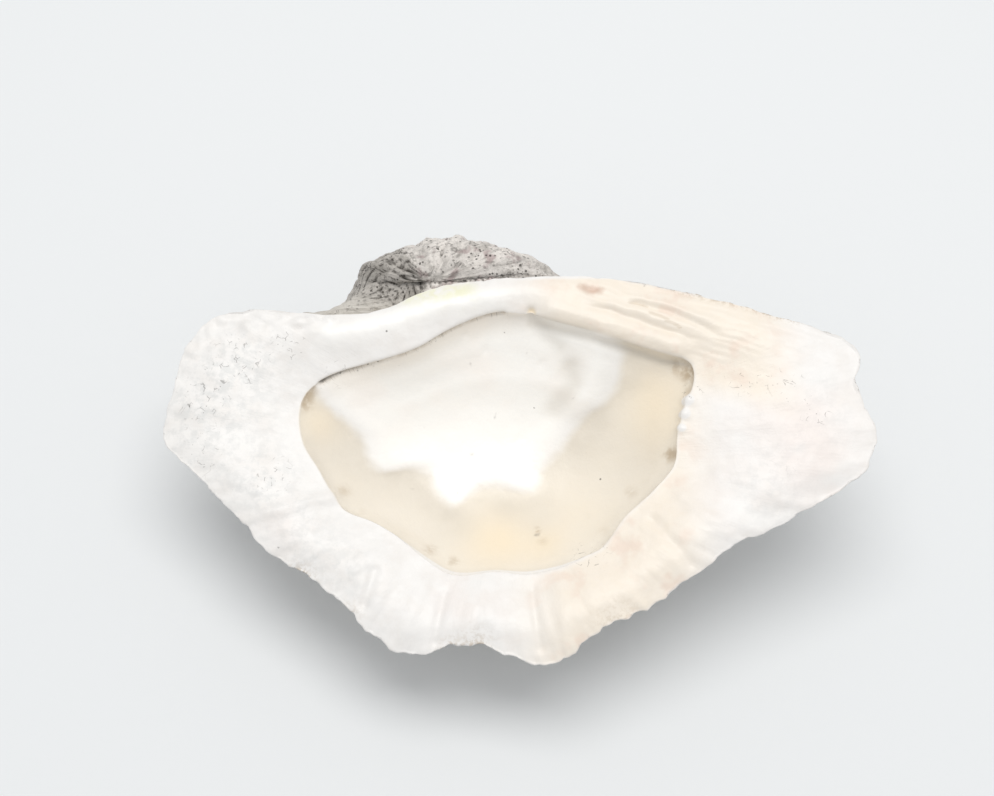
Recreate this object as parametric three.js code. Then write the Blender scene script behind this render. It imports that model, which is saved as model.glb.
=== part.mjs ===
// One valve of an elongate giant clam. It lies on its back with the bowl up and the hinge to
// the rear. The whole valve grew as one piece, so it is one closed solid.
//
// Millimetres, +Z up, +X along the shell's length. The origin is on the ground, under the
// middle of the shell's bounding box.
//
// The shell is drawn in its own frame first: the beak is the origin, +x runs along the hinge,
// +y points to the rear past the hinge, and +z points straight out of the opening. The lip is
// an outline in the plane z = 0. The outside is that outline wound up into the beak, turned
// about the x axis and shrunk as it turns, which is how the shell grew.
import * as THREE from "three";

const { clamp, degToRad, euclideanModulo, lerp, smoothstep } = THREE.MathUtils;

// ---- Driving dimensions ----

const BOWL_CENTRE = { x: 27, y: -75 };

// Outline of the lip: bearing from the bowl's centre in degrees, and reach in millimetres.
const LIP_OUTLINE = [
  [1, 158], [5, 155.5], [10, 154], [14, 158.5], [17, 155], [21, 143.5], [28, 126.5], [37, 110.5],
  [47, 98.5], [60, 88.5], [75, 80.5], [92, 76.5], [104, 77], [116, 77.5], [124, 78.5], [132, 82.5],
  [138, 90.5], [144, 104.5], [149, 123], [154, 135.5], [160, 141], [168, 141], [178, 141],
  [184, 127.5], [191, 116.5], [197, 108.5], [204, 104.5], [213, 95], [222, 90.5], [230, 90],
  [239, 93], [247, 92.5], [252, 90], [258, 84], [266, 82.5], [274, 86.5], [281, 91.5], [288, 92],
  [295, 88.5], [301, 87.5], [310, 91], [321, 94.5], [330, 101], [338, 107.5], [342, 118], [347, 128],
  [351, 140], [355, 151.5],
];

// Outline of the bowl's edge, in the same terms.
const BOWL_OUTLINE = [
  [5, 76.5], [13, 82], [20, 89], [25, 89.5], [35, 76], [48, 67], [63, 61.5], [76, 60.5], [88, 60.5],
  [105, 57], [122, 55], [130, 56.5], [138, 60.5], [146, 67.5], [156, 80], [162, 85], [168, 85.5],
  [177, 81.5], [185, 75], [194, 70.5], [201, 67.5], [210, 59], [222, 54], [238, 54], [251, 55],
  [270, 51], [285, 54], [297, 56], [309, 58], [316, 60], [332, 60.5], [345, 67.5], [355, 74.5],
];

// Broad ribs of the outside: bearing and half width in degrees, and share of the full height.
const RIBS = [
  { bearing: 176, width: 9, share: 0.8 },
  { bearing: 193, width: 8, share: 0.7 },
  { bearing: 212, width: 10, share: 0.9 },
  { bearing: 244, width: 12, share: 1.0 },
  { bearing: 281, width: 13, share: 1.0 },
  { bearing: 318, width: 13, share: 0.9 },
  { bearing: 347, width: 9, share: 0.8 },
];
const RIB_HEIGHT = 6;
const RIB_MEAN = 0.35; // the ribs' average share, taken off so that they don't swell the shell
const FOLD_HEIGHT = 3; // how far the lip dips at a rib
const FOLD_MEAN = 0.4;

const HINGE_BEARING = 85; // direction of the hinge seen from the bowl's centre, degrees
const HINGE_HALF_SPAN = [48, 85]; // where the hinge side begins to fade and where it ends
const HINGE_CLEARANCE = 1.2; // the outline stays this far in front of the beak

const WINDING = degToRad(200); // turn from the lip to the beak
const SHRINK_RATE = 0.607; // per radian, across the hinge
// Narrowing along the hinge, on the short end and on the long one. The beak keeps this share.
const SHORT_END_TAPER = { rate: 1.2, power: 1.3, beakShare: 0.27 };
const LONG_END_TAPER = { rate: 0.75, power: 1.5, beakShare: 0.21 };
const TAPER_BLEND = 40; // half width of the stretch between the two
const REAR_TUCK = 11; // how far the outside stands forward under the short end's rear corner
const REAR_TUCK_TURN = degToRad(120); // the turn over which it comes and goes
const BEAK_ROUNDING_START = 0.6; // share of the winding after which the beak closes
const RIB_RISE = 0.12; // share of the winding over which the ribs rise behind the lip
const RIB_HINGE_FADE = 0.7; // share of their height that they lose on the hinge side

const LIP_ROUNDING = 3.5;
const RIM_CROWN = 2.5; // how far the flat rim bulges up between lip and bowl
const BOWL_EDGE_DROP = 5; // the bowl's edge below the lip, front and sides
const BOWL_EDGE_RISE = 3.5; // how much of that the hinge side wins back
const BOWL_EDGE_ROUNDING = 3;
const BOWL_EDGE_END = 0.06; // share of the way to the floor's middle where that rounding ends
const LIP_FOLD_FADE = 1.5; // the power by which the lip's folds die out across the rim
const RIM_SINK_START = 0.25; // share of the rim after which it sinks to the bowl's edge
const BOWL_DEPTH = 39; // the floor's middle below the lip
const BOWL_ROUNDNESS = { front: 2.4, hinge: 2.6 }; // a higher power gives a steeper wall
const OVERHANG = { front: 0.01, hinge: 0.035 }; // of the edge over the wall, as a share of reach
const OVERHANG_SPAN = 0.3; // share of the way in over which the wall stands back
const HINGE_WALL_DROP = 0.1; // extra steepness of the wall under the hinge, as a share of depth
const FLOOR_HALF_AXES = { x: 80, y: 53 }; // the plain oval that the bowl takes up toward its floor
const FLOOR_BLEND = 0.7; // share of the way in by which it has done so

const HINGE_UP = 11; // how the shell lies: hinge end raised, degrees
const LONG_END_UP = 2.5; // long end raised, degrees
const WORN_DEPTH = 2.5; // worn off the lowest ribs, so that the shell stands on flats

const COLUMNS = 112;
const ROWS = { outside: 24, lip: 2, rim: 6, edge: 1, bowl: 8 };

// ---- Outlines ----

/** A closed polar outline through [bearing, reach] knots, smooth by cubic Hermite pieces. */
class PolarOutline {
  constructor(knots) {
    const full = 360;
    this.angles = [-1, 0, 1].flatMap((turn) => knots.map(([bearing]) => bearing + turn * full));
    this.reaches = [0, 1, 2].flatMap(() => knots.map(([, reach]) => reach));
  }

  slope(i) {
    const rise = this.reaches[i + 1] - this.reaches[i - 1];
    return rise / (this.angles[i + 1] - this.angles[i - 1]);
  }

  reach(bearing) {
    const angle = euclideanModulo(bearing, 360);
    const next = this.angles.findIndex((a) => a > angle);
    const i = next - 1;
    const step = this.angles[next] - this.angles[i];
    const t = (angle - this.angles[i]) / step;
    const start = (1 + 2 * t) * (1 - t) ** 2 * this.reaches[i] + t * (1 - t) ** 2 * step * this.slope(i);
    const end = t * t * (3 - 2 * t) * this.reaches[next] + t * t * (t - 1) * step * this.slope(next);
    return start + end;
  }
}

const lipOutline = new PolarOutline(LIP_OUTLINE);
const bowlOutline = new PolarOutline(BOWL_OUTLINE);

/** The signed difference between two bearings, between -180 and 180 degrees. */
const bearingGap = (a, b) => euclideanModulo(a - b + 180, 360) - 180;

/** 1 on the hinge side of the shell, 0 on its front, smooth between. */
function hingeSide(bearing) {
  const [start, end] = HINGE_HALF_SPAN;
  return 1 - smoothstep(Math.abs(bearingGap(bearing, HINGE_BEARING)), start, end);
}

/** The broad ribs' profile around the shell, 0 between them and up to about 1 on a crest. */
function ribProfile(bearing) {
  const swell = (rib) => rib.share * Math.exp(-((bearingGap(bearing, rib.bearing) / rib.width) ** 2));
  return RIBS.reduce((sum, rib) => sum + swell(rib), 0);
}

/** A point at a bearing and reach from the bowl's centre. */
function fromBowlCentre(bearing, reach, height) {
  const angle = degToRad(bearing);
  const x = BOWL_CENTRE.x + reach * Math.cos(angle);
  const y = BOWL_CENTRE.y + reach * Math.sin(angle);
  return new THREE.Vector3(x, y, height);
}

// ---- The four surfaces: outside, rim, bowl, and the rounded corners between them ----

const lipFold = (bearing) => -FOLD_HEIGHT * (ribProfile(bearing) - FOLD_MEAN) * (1 - hingeSide(bearing));

const lipPoint = (bearing) => fromBowlCentre(bearing, lipOutline.reach(bearing), lipFold(bearing));

/** 0 on the short end and 1 on the long end, smooth between. */
const longEnd = (x) => smoothstep(x, -TAPER_BLEND, TAPER_BLEND);

/** The share of its width that the shell keeps after a turn, on the long or the short end. */
function widthShare(turn, x) {
  const shrink = ({ rate, power, beakShare }) => lerp(beakShare, 1, Math.exp(-rate * turn ** power));
  return lerp(shrink(SHORT_END_TAPER), shrink(LONG_END_TAPER), longEnd(x));
}

/** The outside: grown is 0 at the lip and 1 at the beak. */
function outside(bearing, grown) {
  const turn = WINDING * grown;
  const rise = smoothstep(grown, 0, RIB_RISE) * (1 - RIB_HINGE_FADE * hingeSide(bearing));
  const rib = RIB_HEIGHT * (ribProfile(bearing) - RIB_MEAN) * rise;
  const start = fromBowlCentre(bearing, lipOutline.reach(bearing) + rib, lipFold(bearing));
  start.y = Math.min(start.y, -HINGE_CLEARANCE);
  const closing = clamp((grown - BEAK_ROUNDING_START) / (1 - BEAK_ROUNDING_START), 0, 1);
  const rounding = Math.sqrt(1 - closing ** 2);
  const width = rounding * widthShare(turn, start.x);
  const height = rounding * Math.exp(-SHRINK_RATE * turn);
  const wound = start.clone().applyAxisAngle(new THREE.Vector3(1, 0, 0), turn);
  wound.multiply(new THREE.Vector3(width, height, height));
  const under = Math.sin(Math.PI * clamp(turn / REAR_TUCK_TURN, 0, 1));
  wound.y -= REAR_TUCK * under * hingeSide(bearing) * (1 - longEnd(start.x));
  return wound;
}

function bowlEdge(bearing) {
  const height = -BOWL_EDGE_DROP + BOWL_EDGE_RISE * hingeSide(bearing);
  return fromBowlCentre(bearing, bowlOutline.reach(bearing), height);
}

/** The flat rim: across is 0 at the lip and 1 at the bowl's edge. */
function rim(bearing, across) {
  const lip = lipPoint(bearing);
  const edge = bowlEdge(bearing);
  const point = lip.clone().lerp(edge, across);
  const crown = RIM_CROWN * Math.sin(Math.PI * across);
  const fold = lip.z * (1 - across) ** LIP_FOLD_FADE;
  point.z = fold + edge.z * smoothstep(across, RIM_SINK_START, 1) + crown;
  return point;
}

/** The reach of the plain oval of the bowl's floor. */
function floorReach(bearing) {
  const angle = degToRad(bearing);
  return 1 / Math.hypot(Math.cos(angle) / FLOOR_HALF_AXES.x, Math.sin(angle) / FLOOR_HALF_AXES.y);
}

/** The bowl: inward is 0 at its edge and 1 in the middle of its floor. */
function bowl(bearing, inward) {
  const edge = bowlEdge(bearing);
  const hinge = hingeSide(bearing);
  const oval = smoothstep(inward, 0, FLOOR_BLEND);
  const outline = lerp(bowlOutline.reach(bearing), floorReach(bearing), oval);
  const overhang = lerp(OVERHANG.front, OVERHANG.hinge, hinge);
  const level = Math.cos((Math.PI / 2) * inward);
  const undercut = overhang * Math.sin(Math.PI * Math.min(inward / OVERHANG_SPAN, 1));
  const wallDrop = HINGE_WALL_DROP * hinge * Math.sin(Math.PI * Math.min(2 * inward, 1));
  const sunk = 1 - level ** lerp(BOWL_ROUNDNESS.front, BOWL_ROUNDNESS.hinge, hinge) + wallDrop;
  return fromBowlCentre(bearing, outline * (level + undercut), lerp(edge.z, -BOWL_DEPTH, sunk));
}

/** A rounded corner: a quadratic curve from one surface to the next, pulled to the sharp corner. */
function corner(from, sharp, to, t) {
  const pull = from.clone().multiplyScalar((1 - t) ** 2);
  pull.addScaledVector(sharp, 2 * t * (1 - t));
  return pull.addScaledVector(to, t * t);
}

// ---- The solid ----

/** Evenly spaced numbers from the first to the last. */
function shares(count, first, last) {
  return Array.from({ length: count }, (_, i) => lerp(first, last, i / (count - 1)));
}

/** The points of one bearing, from beside the beak, over the lip, to beside the floor's middle. */
function meridian(bearing) {
  const lip = lipPoint(bearing);
  const edge = bowlEdge(bearing);
  const rimWidth = lip.distanceTo(edge);
  const fullTurn = lip.distanceTo(outside(bearing, RIB_RISE)) / RIB_RISE;
  const lipBack = LIP_ROUNDING / fullTurn;
  const lipIn = LIP_ROUNDING / rimWidth;
  const edgeOut = 1 - BOWL_EDGE_ROUNDING / rimWidth;

  const outer = shares(ROWS.outside + 1, 1, lipBack).slice(1).map((g) => outside(bearing, g));
  const flat = shares(ROWS.rim + 1, lipIn, edgeOut).map((u) => rim(bearing, u));
  const hollow = shares(ROWS.bowl + 1, BOWL_EDGE_END, 1).slice(0, -1).map((v) => bowl(bearing, v));
  const bend = (count, from, sharp, to) => {
    const inner = shares(count + 2, 0, 1).slice(1, -1);
    return inner.map((t) => corner(from, sharp, to, t));
  };
  return [
    ...outer,
    ...bend(ROWS.lip, outer.at(-1), lip, flat[0]),
    ...flat,
    ...bend(ROWS.edge, flat.at(-1), edge, hollow[0]),
    ...hollow,
  ];
}

/** The closed surface: meridians side by side, a fan at the beak and one at the floor's middle. */
function valveGeometry() {
  const bearings = Array.from({ length: COLUMNS }, (_, i) => (360 * i) / COLUMNS);
  const meridians = bearings.map(meridian);
  const rows = meridians[0].length;
  const beak = new THREE.Vector3(0, 0, 0);
  const floorMiddle = new THREE.Vector3(BOWL_CENTRE.x, BOWL_CENTRE.y, -BOWL_DEPTH);
  const points = [...meridians.flat(), beak, floorMiddle];
  const beakIndex = COLUMNS * rows;
  const floorIndex = beakIndex + 1;

  const faces = [];
  for (let column = 0; column < COLUMNS; column += 1) {
    const here = column * rows;
    const next = ((column + 1) % COLUMNS) * rows;
    faces.push(beakIndex, next, here);
    for (let row = 0; row < rows - 1; row += 1) {
      faces.push(here + row, next + row, next + row + 1);
      faces.push(here + row, next + row + 1, here + row + 1);
    }
    faces.push(here + rows - 1, next + rows - 1, floorIndex);
  }
  const geometry = new THREE.BufferGeometry().setFromPoints(points);
  geometry.setIndex(faces);
  return geometry;
}

/** Lays the shell down as it rests, centres it over the origin and wears flats on its ribs. */
function layDown(geometry) {
  const tilt = new THREE.Euler(degToRad(HINGE_UP), degToRad(-LONG_END_UP), 0, "XYZ");
  geometry.applyMatrix4(new THREE.Matrix4().makeRotationFromEuler(tilt));
  geometry.computeBoundingBox();
  const { min, max } = geometry.boundingBox;
  geometry.translate(-(min.x + max.x) / 2, -(min.y + max.y) / 2, -min.z - WORN_DEPTH);
  const place = geometry.attributes.position;
  for (let i = 0; i < place.count; i += 1) {
    place.setZ(i, Math.max(place.getZ(i), 0));
  }
  geometry.computeVertexNormals();
  return geometry;
}

const shell = new THREE.MeshStandardMaterial({ color: 0xf1ebe2, roughness: 0.5, metalness: 0 });

const valve = new THREE.Mesh(layDown(valveGeometry()), shell);
valve.name = "valve";

const clamShell = new THREE.Group();
clamShell.add(valve);

export default clamShell;
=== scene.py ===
"""One valve of an elongate giant clam, lying on its back with the bowl up.

The fine surface is drawn in the valve's own frame, in millimetres: the beak is the origin, +x
runs along the hinge, +y points to the rear past the hinge and +z straight out of the opening.
It is then laid down as it rests and turned into metres.
"""
import logging
import math
from dataclasses import dataclass, field
from typing import Any

import bpy
import numpy as np
from mathutils import Euler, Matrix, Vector


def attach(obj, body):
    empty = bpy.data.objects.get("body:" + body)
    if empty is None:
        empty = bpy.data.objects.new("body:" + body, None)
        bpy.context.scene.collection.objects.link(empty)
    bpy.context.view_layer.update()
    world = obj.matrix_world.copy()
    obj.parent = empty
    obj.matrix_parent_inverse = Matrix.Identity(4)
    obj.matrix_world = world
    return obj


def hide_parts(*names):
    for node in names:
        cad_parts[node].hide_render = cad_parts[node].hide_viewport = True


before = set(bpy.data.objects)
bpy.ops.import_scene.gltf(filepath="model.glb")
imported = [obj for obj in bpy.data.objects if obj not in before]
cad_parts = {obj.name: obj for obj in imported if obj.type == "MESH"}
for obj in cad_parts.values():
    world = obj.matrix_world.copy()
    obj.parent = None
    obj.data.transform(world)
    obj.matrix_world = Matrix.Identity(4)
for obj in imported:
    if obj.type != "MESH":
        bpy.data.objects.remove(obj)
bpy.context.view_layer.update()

log = logging.getLogger("clam_shell")

Array = np.ndarray
Pair = tuple[float, float]
Triple = tuple[float, float, float]
Colour = Triple

METRES = 0.001  # the form is drawn in millimetres
FULL_TURN = 360.0
HALF_TURN = FULL_TURN / 2
FAR_AWAY = 20.0  # a distance past the reach of every mark, in millimetres
FLATTENED = np.array([1.0, 1.0, 0.0])  # brings a point down to the lip's plane


# ---- Number helpers ----


def smoothstep(value: Array | float, low: float, high: float) -> Array:
    """Ease from 0 at low to 1 at high.

    Args:
        value: The numbers to ease.
        low: Where the result leaves 0.
        high: Where the result reaches 1.

    Returns:
        The eased numbers.
    """
    share = np.clip((np.asarray(value, float) - low) / (high - low), 0.0, 1.0)
    return share * share * (3.0 - 2.0 * share)


def lerp(start: Any, end: Any, share: Any) -> Any:
    """Go from start to end by a share."""
    return start + (end - start) * share


def bell(value: Array, width: float) -> Array:
    """A bell curve, 1 at 0, that has fallen to about a third at width."""
    return np.exp(-((np.asarray(value) / width) ** 2))


def bearing_gap(a: Array, b: float) -> Array:
    """The signed difference of two bearings, from -180 to 180 degrees."""
    return np.mod(a - b + HALF_TURN, FULL_TURN) - HALF_TURN


class Noise:
    """Seeded noise over points in space: smooth, fractal, and scattered cells."""

    TABLE = 256
    LAST = TABLE - 1
    PEAK = 1.6  # brings the smooth noise to about -1 to 1
    OCTAVE_SHIFT = 37.1

    def __init__(self, seed: int) -> None:
        """Draw the tables.

        Args:
            seed: The same seed gives the same noise.
        """
        random = np.random.default_rng(seed)
        self.order = random.permutation(self.TABLE)
        directions = random.normal(size=(self.TABLE, 3))
        self.directions = directions / np.linalg.norm(directions, axis=1, keepdims=True)
        self.scatter = random.random((self.TABLE, 3))

    def _pick(self, cell: Array) -> Array:
        """The table entry of each whole-numbered cell.

        Args:
            cell: The cells' numbers, with the three coordinates last.

        Returns:
            One entry for each cell.
        """
        first = self.order[cell[..., 0] & self.LAST]
        second = self.order[(first + cell[..., 1]) & self.LAST]
        return self.order[(second + cell[..., 2]) & self.LAST]

    def smooth(self, points: Array, size: float) -> Array:
        """Smooth noise.

        Args:
            points: Places, with the three coordinates last.
            size: The size of one cell, in the points' unit.

        Returns:
            Values from about -1 to 1.
        """
        place = points / size
        cell = np.floor(place).astype(int)
        part = place - cell
        ease = part**3 * (part * (part * 6.0 - 15.0) + 10.0)
        total = np.zeros(points.shape[:-1])
        for step in np.ndindex(2, 2, 2):
            corner = np.array(step)
            slope = self.directions[self._pick(cell + corner)]
            weight = np.prod(np.where(corner == 1, ease, 1.0 - ease), axis=-1)
            total += weight * ((part - corner) * slope).sum(-1)
        return self.PEAK * total

    def fractal(self, points: Array, size: float, octaves: int = 4, gain: float = 0.5) -> Array:
        """Smooth noise summed over ever finer sizes.

        Args:
            points: Places, with the three coordinates last.
            size: The size of the largest cells.
            octaves: How many sizes, each half of the one before.
            gain: The strength of each size against the one before.

        Returns:
            Values from about -1 to 1.
        """
        total, strength, weight = np.zeros(points.shape[:-1]), 0.0, 1.0
        for octave in range(octaves):
            shifted = points + self.OCTAVE_SHIFT * octave
            total += weight * self.smooth(shifted, size / 2.0**octave)
            strength += weight
            weight *= gain
        return total / strength

    def pits(self, points: Array, size: float, radius: float) -> Array:
        """Round pits scattered through space, one to a cell at most.

        Args:
            points: Places, with the three coordinates last.
            size: The size of one cell.
            radius: A pit's radius as a share of the cell.

        Returns:
            1 in the middle of a pit, 0 outside it.
        """
        place = points / size
        cell = np.floor(place).astype(int)
        nearest = np.full(points.shape[:-1], np.inf)
        for step in np.ndindex(3, 3, 3):
            home = cell + np.array(step) - 1
            centre = home + self.scatter[self._pick(home)]
            nearest = np.minimum(nearest, np.linalg.norm(place - centre, axis=-1))
        return 1.0 - smoothstep(nearest, 0.0, radius)


# ---- Lines and outlines ----


@dataclass(frozen=True)
class PolarOutline:
    """A closed outline of bearing and reach round a centre, smooth by cubic Hermite pieces."""

    centre: Pair
    knots: tuple[Pair, ...]

    def reach(self, bearing: Array) -> Array:
        """The outline's distance from the centre.

        Args:
            bearing: Directions in degrees.

        Returns:
            Reaches in millimetres.
        """
        angles = np.array([a + turn * FULL_TURN for turn in (-1, 0, 1) for a, _ in self.knots])
        reaches = np.array([r for _ in range(3) for _, r in self.knots])
        slopes = np.zeros(len(angles))
        slopes[1:-1] = (reaches[2:] - reaches[:-2]) / (angles[2:] - angles[:-2])
        angle = np.mod(bearing, FULL_TURN)
        after = np.searchsorted(angles, angle, side="right")
        before = after - 1
        span = angles[after] - angles[before]
        t = (angle - angles[before]) / span
        start = (1 + 2 * t) * (1 - t) ** 2 * reaches[before]
        start += t * (1 - t) ** 2 * span * slopes[before]
        end = t * t * (3 - 2 * t) * reaches[after] + t * t * (t - 1) * span * slopes[after]
        return start + end

    def depth_inside(self, x: Array, y: Array) -> Array:
        """How far a point is inside the outline along its own bearing, negative outside it.

        Args:
            x: Places along the hinge.
            y: Places across it.

        Returns:
            Depths in millimetres.
        """
        across, along = x - self.centre[0], y - self.centre[1]
        bearing = np.degrees(np.arctan2(along, across))
        return self.reach(bearing) - np.hypot(across, along)


@dataclass(frozen=True)
class Trace:
    """A line over the valve, seen straight from above the opening."""

    points: tuple[Pair, ...]
    width: float
    height: float = 1.0
    fade: float = 0.0  # share of the length over which each end dies out

    def gap(self, x: Array, y: Array) -> Array:
        """The distance of each place from the line.

        Args:
            x: Places along the hinge.
            y: Places across it.

        Returns:
            Distances in millimetres.
        """
        nearest = np.full(np.shape(x), np.inf)
        for (ax, ay), (bx, by) in zip(self.points[:-1], self.points[1:]):
            run = np.array([bx - ax, by - ay])
            share = np.clip(((x - ax) * run[0] + (y - ay) * run[1]) / (run @ run), 0.0, 1.0)
            nearest = np.minimum(nearest, np.hypot(x - ax - share * run[0], y - ay - share * run[1]))
        return nearest

    def along(self, x: Array, y: Array) -> Array:
        """The share of the straight way from the first to the last point, at each place.

        Args:
            x: Places along the hinge.
            y: Places across it.

        Returns:
            Shares from 0 to 1.
        """
        (ax, ay), (bx, by) = self.points[0], self.points[-1]
        run = np.array([bx - ax, by - ay])
        return np.clip(((x - ax) * run[0] + (y - ay) * run[1]) / (run @ run), 0.0, 1.0)

    def swell(self, x: Array, y: Array) -> Array:
        """The line's raised or sunk profile at each place.

        Args:
            x: Places along the hinge.
            y: Places across it.

        Returns:
            Heights, or strengths where the line is a tint.
        """
        profile = self.height * bell(self.gap(x, y), self.width)
        if not self.fade:
            return profile
        share = self.along(x, y)
        return profile * smoothstep(share, 0.0, self.fade) * smoothstep(1.0 - share, 0.0, self.fade)


@dataclass(frozen=True)
class Spot:
    """A round soft spot on the valve, seen straight from above the opening."""

    x: float
    y: float
    radius: float
    strength: float = 1.0

    def swell(self, x: Array, y: Array) -> Array:
        """The spot's strength at each place."""
        return self.strength * bell(np.hypot(x - self.x, y - self.y), self.radius)


Marks = tuple[Spot | Trace, ...]


def total_swell(marks: Marks, x: Array, y: Array) -> Array:
    """The strengths of several marks, added up."""
    return sum((mark.swell(x, y) for mark in marks), np.zeros(np.shape(x)))


# ---- The form ----


@dataclass(frozen=True)
class Taper:
    """How the shell narrows along the hinge as it winds, on one end."""

    rate: float
    power: float
    beak_share: float

    def share(self, turn: Array) -> Array:
        """The share of the width that is left after a turn in radians."""
        return lerp(self.beak_share, 1.0, np.exp(-self.rate * turn**self.power))


@dataclass(frozen=True)
class ValveForm:
    """The valve's broad form, with the sizes of the solid model."""

    bowl_centre: Pair = (27.0, -75.0)
    lip: PolarOutline = PolarOutline((27.0, -75.0), (
        (1, 158), (5, 155.5), (10, 154), (14, 158.5), (17, 155), (21, 143.5), (28, 126.5),
        (37, 110.5), (47, 98.5), (60, 88.5), (75, 80.5), (92, 76.5), (104, 77), (116, 77.5),
        (124, 78.5), (132, 82.5), (138, 90.5), (144, 104.5), (149, 123), (154, 135.5), (160, 141),
        (168, 141), (178, 141), (184, 127.5), (191, 116.5), (197, 108.5), (204, 104.5), (213, 95),
        (222, 90.5), (230, 90), (239, 93), (247, 92.5), (252, 90), (258, 84), (266, 82.5),
        (274, 86.5), (281, 91.5), (288, 92), (295, 88.5), (301, 87.5), (310, 91), (321, 94.5),
        (330, 101), (338, 107.5), (342, 118), (347, 128), (351, 140), (355, 151.5)))
    bowl_outline: PolarOutline = PolarOutline((27.0, -75.0), (
        (5, 76.5), (13, 82), (20, 89), (25, 89.5), (35, 76), (48, 67), (63, 61.5), (76, 60.5),
        (88, 60.5), (105, 57), (122, 55), (130, 56.5), (138, 60.5), (146, 67.5), (156, 80),
        (162, 85), (168, 85.5), (177, 81.5), (185, 75), (194, 70.5), (201, 67.5), (210, 59),
        (222, 54), (238, 54), (251, 55), (270, 51), (285, 54), (297, 56), (309, 58), (316, 60),
        (332, 60.5), (345, 67.5), (355, 74.5)))
    # Broad ribs: bearing, half width in degrees, share of the full height.
    ribs: tuple[tuple[float, float, float], ...] = (
        (176, 9, 0.8), (193, 8, 0.7), (212, 10, 0.9), (244, 12, 1.0), (281, 13, 1.0),
        (318, 13, 0.9), (347, 9, 0.8))
    rib_height: float = 6.0
    rib_mean: float = 0.35
    rib_rise: float = 0.12
    rib_hinge_fade: float = 0.7
    fold_height: float = 3.0
    fold_mean: float = 0.4
    hinge_bearing: float = 85.0
    hinge_half_span: Pair = (48.0, 85.0)
    hinge_clearance: float = 1.2
    winding: float = math.radians(200.0)
    shrink_rate: float = 0.607
    short_end: Taper = Taper(1.2, 1.3, 0.27)
    long_end: Taper = Taper(0.75, 1.5, 0.21)
    taper_blend: float = 40.0
    beak_rounding_start: float = 0.6
    tuck: float = 11.0  # how far the outside stands forward under the short end's rear corner
    tuck_turn: float = math.radians(120.0)
    rim_crown: float = 2.5
    lip_hold: float = 1.5  # power by which the lip's folds fade across the rim
    edge_start: float = 0.25  # share of the rim after which it sinks to the bowl's edge
    edge_drop: float = 5.0
    edge_rise: float = 3.5
    bowl_depth: float = 39.0
    roundness_front: float = 2.4
    roundness_hinge: float = 2.6
    overhang_front: float = 0.01
    overhang_hinge: float = 0.035
    overhang_span: float = 0.3
    hinge_wall_drop: float = 0.1
    floor_half_axes: Pair = (80.0, 53.0)
    floor_blend: float = 0.7

    def hinge_side(self, bearing: Array) -> Array:
        """1 on the hinge side, 0 on the front."""
        return 1.0 - smoothstep(np.abs(bearing_gap(bearing, self.hinge_bearing)), *self.hinge_half_span)

    def rib_profile(self, bearing: Array) -> Array:
        """The broad ribs round the valve, 0 between them."""
        swells = (share * bell(bearing_gap(bearing, at), width) for at, width, share in self.ribs)
        return sum(swells, np.zeros(np.shape(bearing)))

    def from_centre(self, bearing: Array, reach: Array, height: Array) -> Array:
        """Points at bearings and reaches from the bowl's centre.

        Args:
            bearing: Directions in degrees.
            reach: Distances in the plane of the lip.
            height: Heights above that plane.

        Returns:
            Points with their coordinates last.
        """
        angle = np.radians(bearing)
        x = self.bowl_centre[0] + reach * np.cos(angle)
        y = self.bowl_centre[1] + reach * np.sin(angle)
        return np.stack(np.broadcast_arrays(x, y, height), axis=-1)

    def lip_fold(self, bearing: Array) -> Array:
        """How high the lip stands at each bearing."""
        fold = self.rib_profile(bearing) - self.fold_mean
        return -self.fold_height * fold * (1.0 - self.hinge_side(bearing))

    def lip_point(self, bearing: Array) -> Array:
        """The sharp lip."""
        return self.from_centre(bearing, self.lip.reach(bearing), self.lip_fold(bearing))

    def outside(self, bearing: Array, grown: Array) -> Array:
        """The outside, wound up from the lip into the beak.

        Args:
            bearing: Directions in degrees.
            grown: 0 at the lip and 1 at the beak.

        Returns:
            Points with their coordinates last.
        """
        turn = self.winding * grown
        rise = smoothstep(grown, 0.0, self.rib_rise)
        rise = rise * (1.0 - self.rib_hinge_fade * self.hinge_side(bearing))
        rib = self.rib_height * (self.rib_profile(bearing) - self.rib_mean) * rise
        start = self.from_centre(bearing, self.lip.reach(bearing) + rib, self.lip_fold(bearing))
        x, y, z = start[..., 0], np.minimum(start[..., 1], -self.hinge_clearance), start[..., 2]
        closing = np.clip((grown - self.beak_rounding_start) / (1 - self.beak_rounding_start), 0, 1)
        rounding = np.sqrt(1.0 - closing**2)
        toward_long = smoothstep(x, -self.taper_blend, self.taper_blend)
        width = rounding * lerp(self.short_end.share(turn), self.long_end.share(turn), toward_long)
        height = rounding * np.exp(-self.shrink_rate * turn)
        wound_y = y * np.cos(turn) - z * np.sin(turn)
        wound_z = y * np.sin(turn) + z * np.cos(turn)
        under = np.sin(math.pi * np.clip(turn / self.tuck_turn, 0.0, 1.0))
        tuck = self.tuck * under * self.hinge_side(bearing) * (1.0 - toward_long)
        return np.stack([x * width, wound_y * height - tuck, wound_z * height], axis=-1)

    def bowl_edge(self, bearing: Array) -> Array:
        """The bowl's sharp edge."""
        height = -self.edge_drop + self.edge_rise * self.hinge_side(bearing)
        return self.from_centre(bearing, self.bowl_outline.reach(bearing), height)

    def rim(self, bearing: Array, across: Array) -> Array:
        """The flat rim.

        Args:
            bearing: Directions in degrees.
            across: 0 at the lip and 1 at the bowl's edge.

        Returns:
            Points with their coordinates last.
        """
        lip, edge = self.lip_point(bearing), self.bowl_edge(bearing)
        points = lerp(lip, edge, across[..., None])
        sink = edge[..., 2] * smoothstep(across, self.edge_start, 1.0)
        crown = self.rim_crown * np.sin(math.pi * across)
        points[..., 2] = lip[..., 2] * (1.0 - across) ** self.lip_hold + sink + crown
        return points

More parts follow.
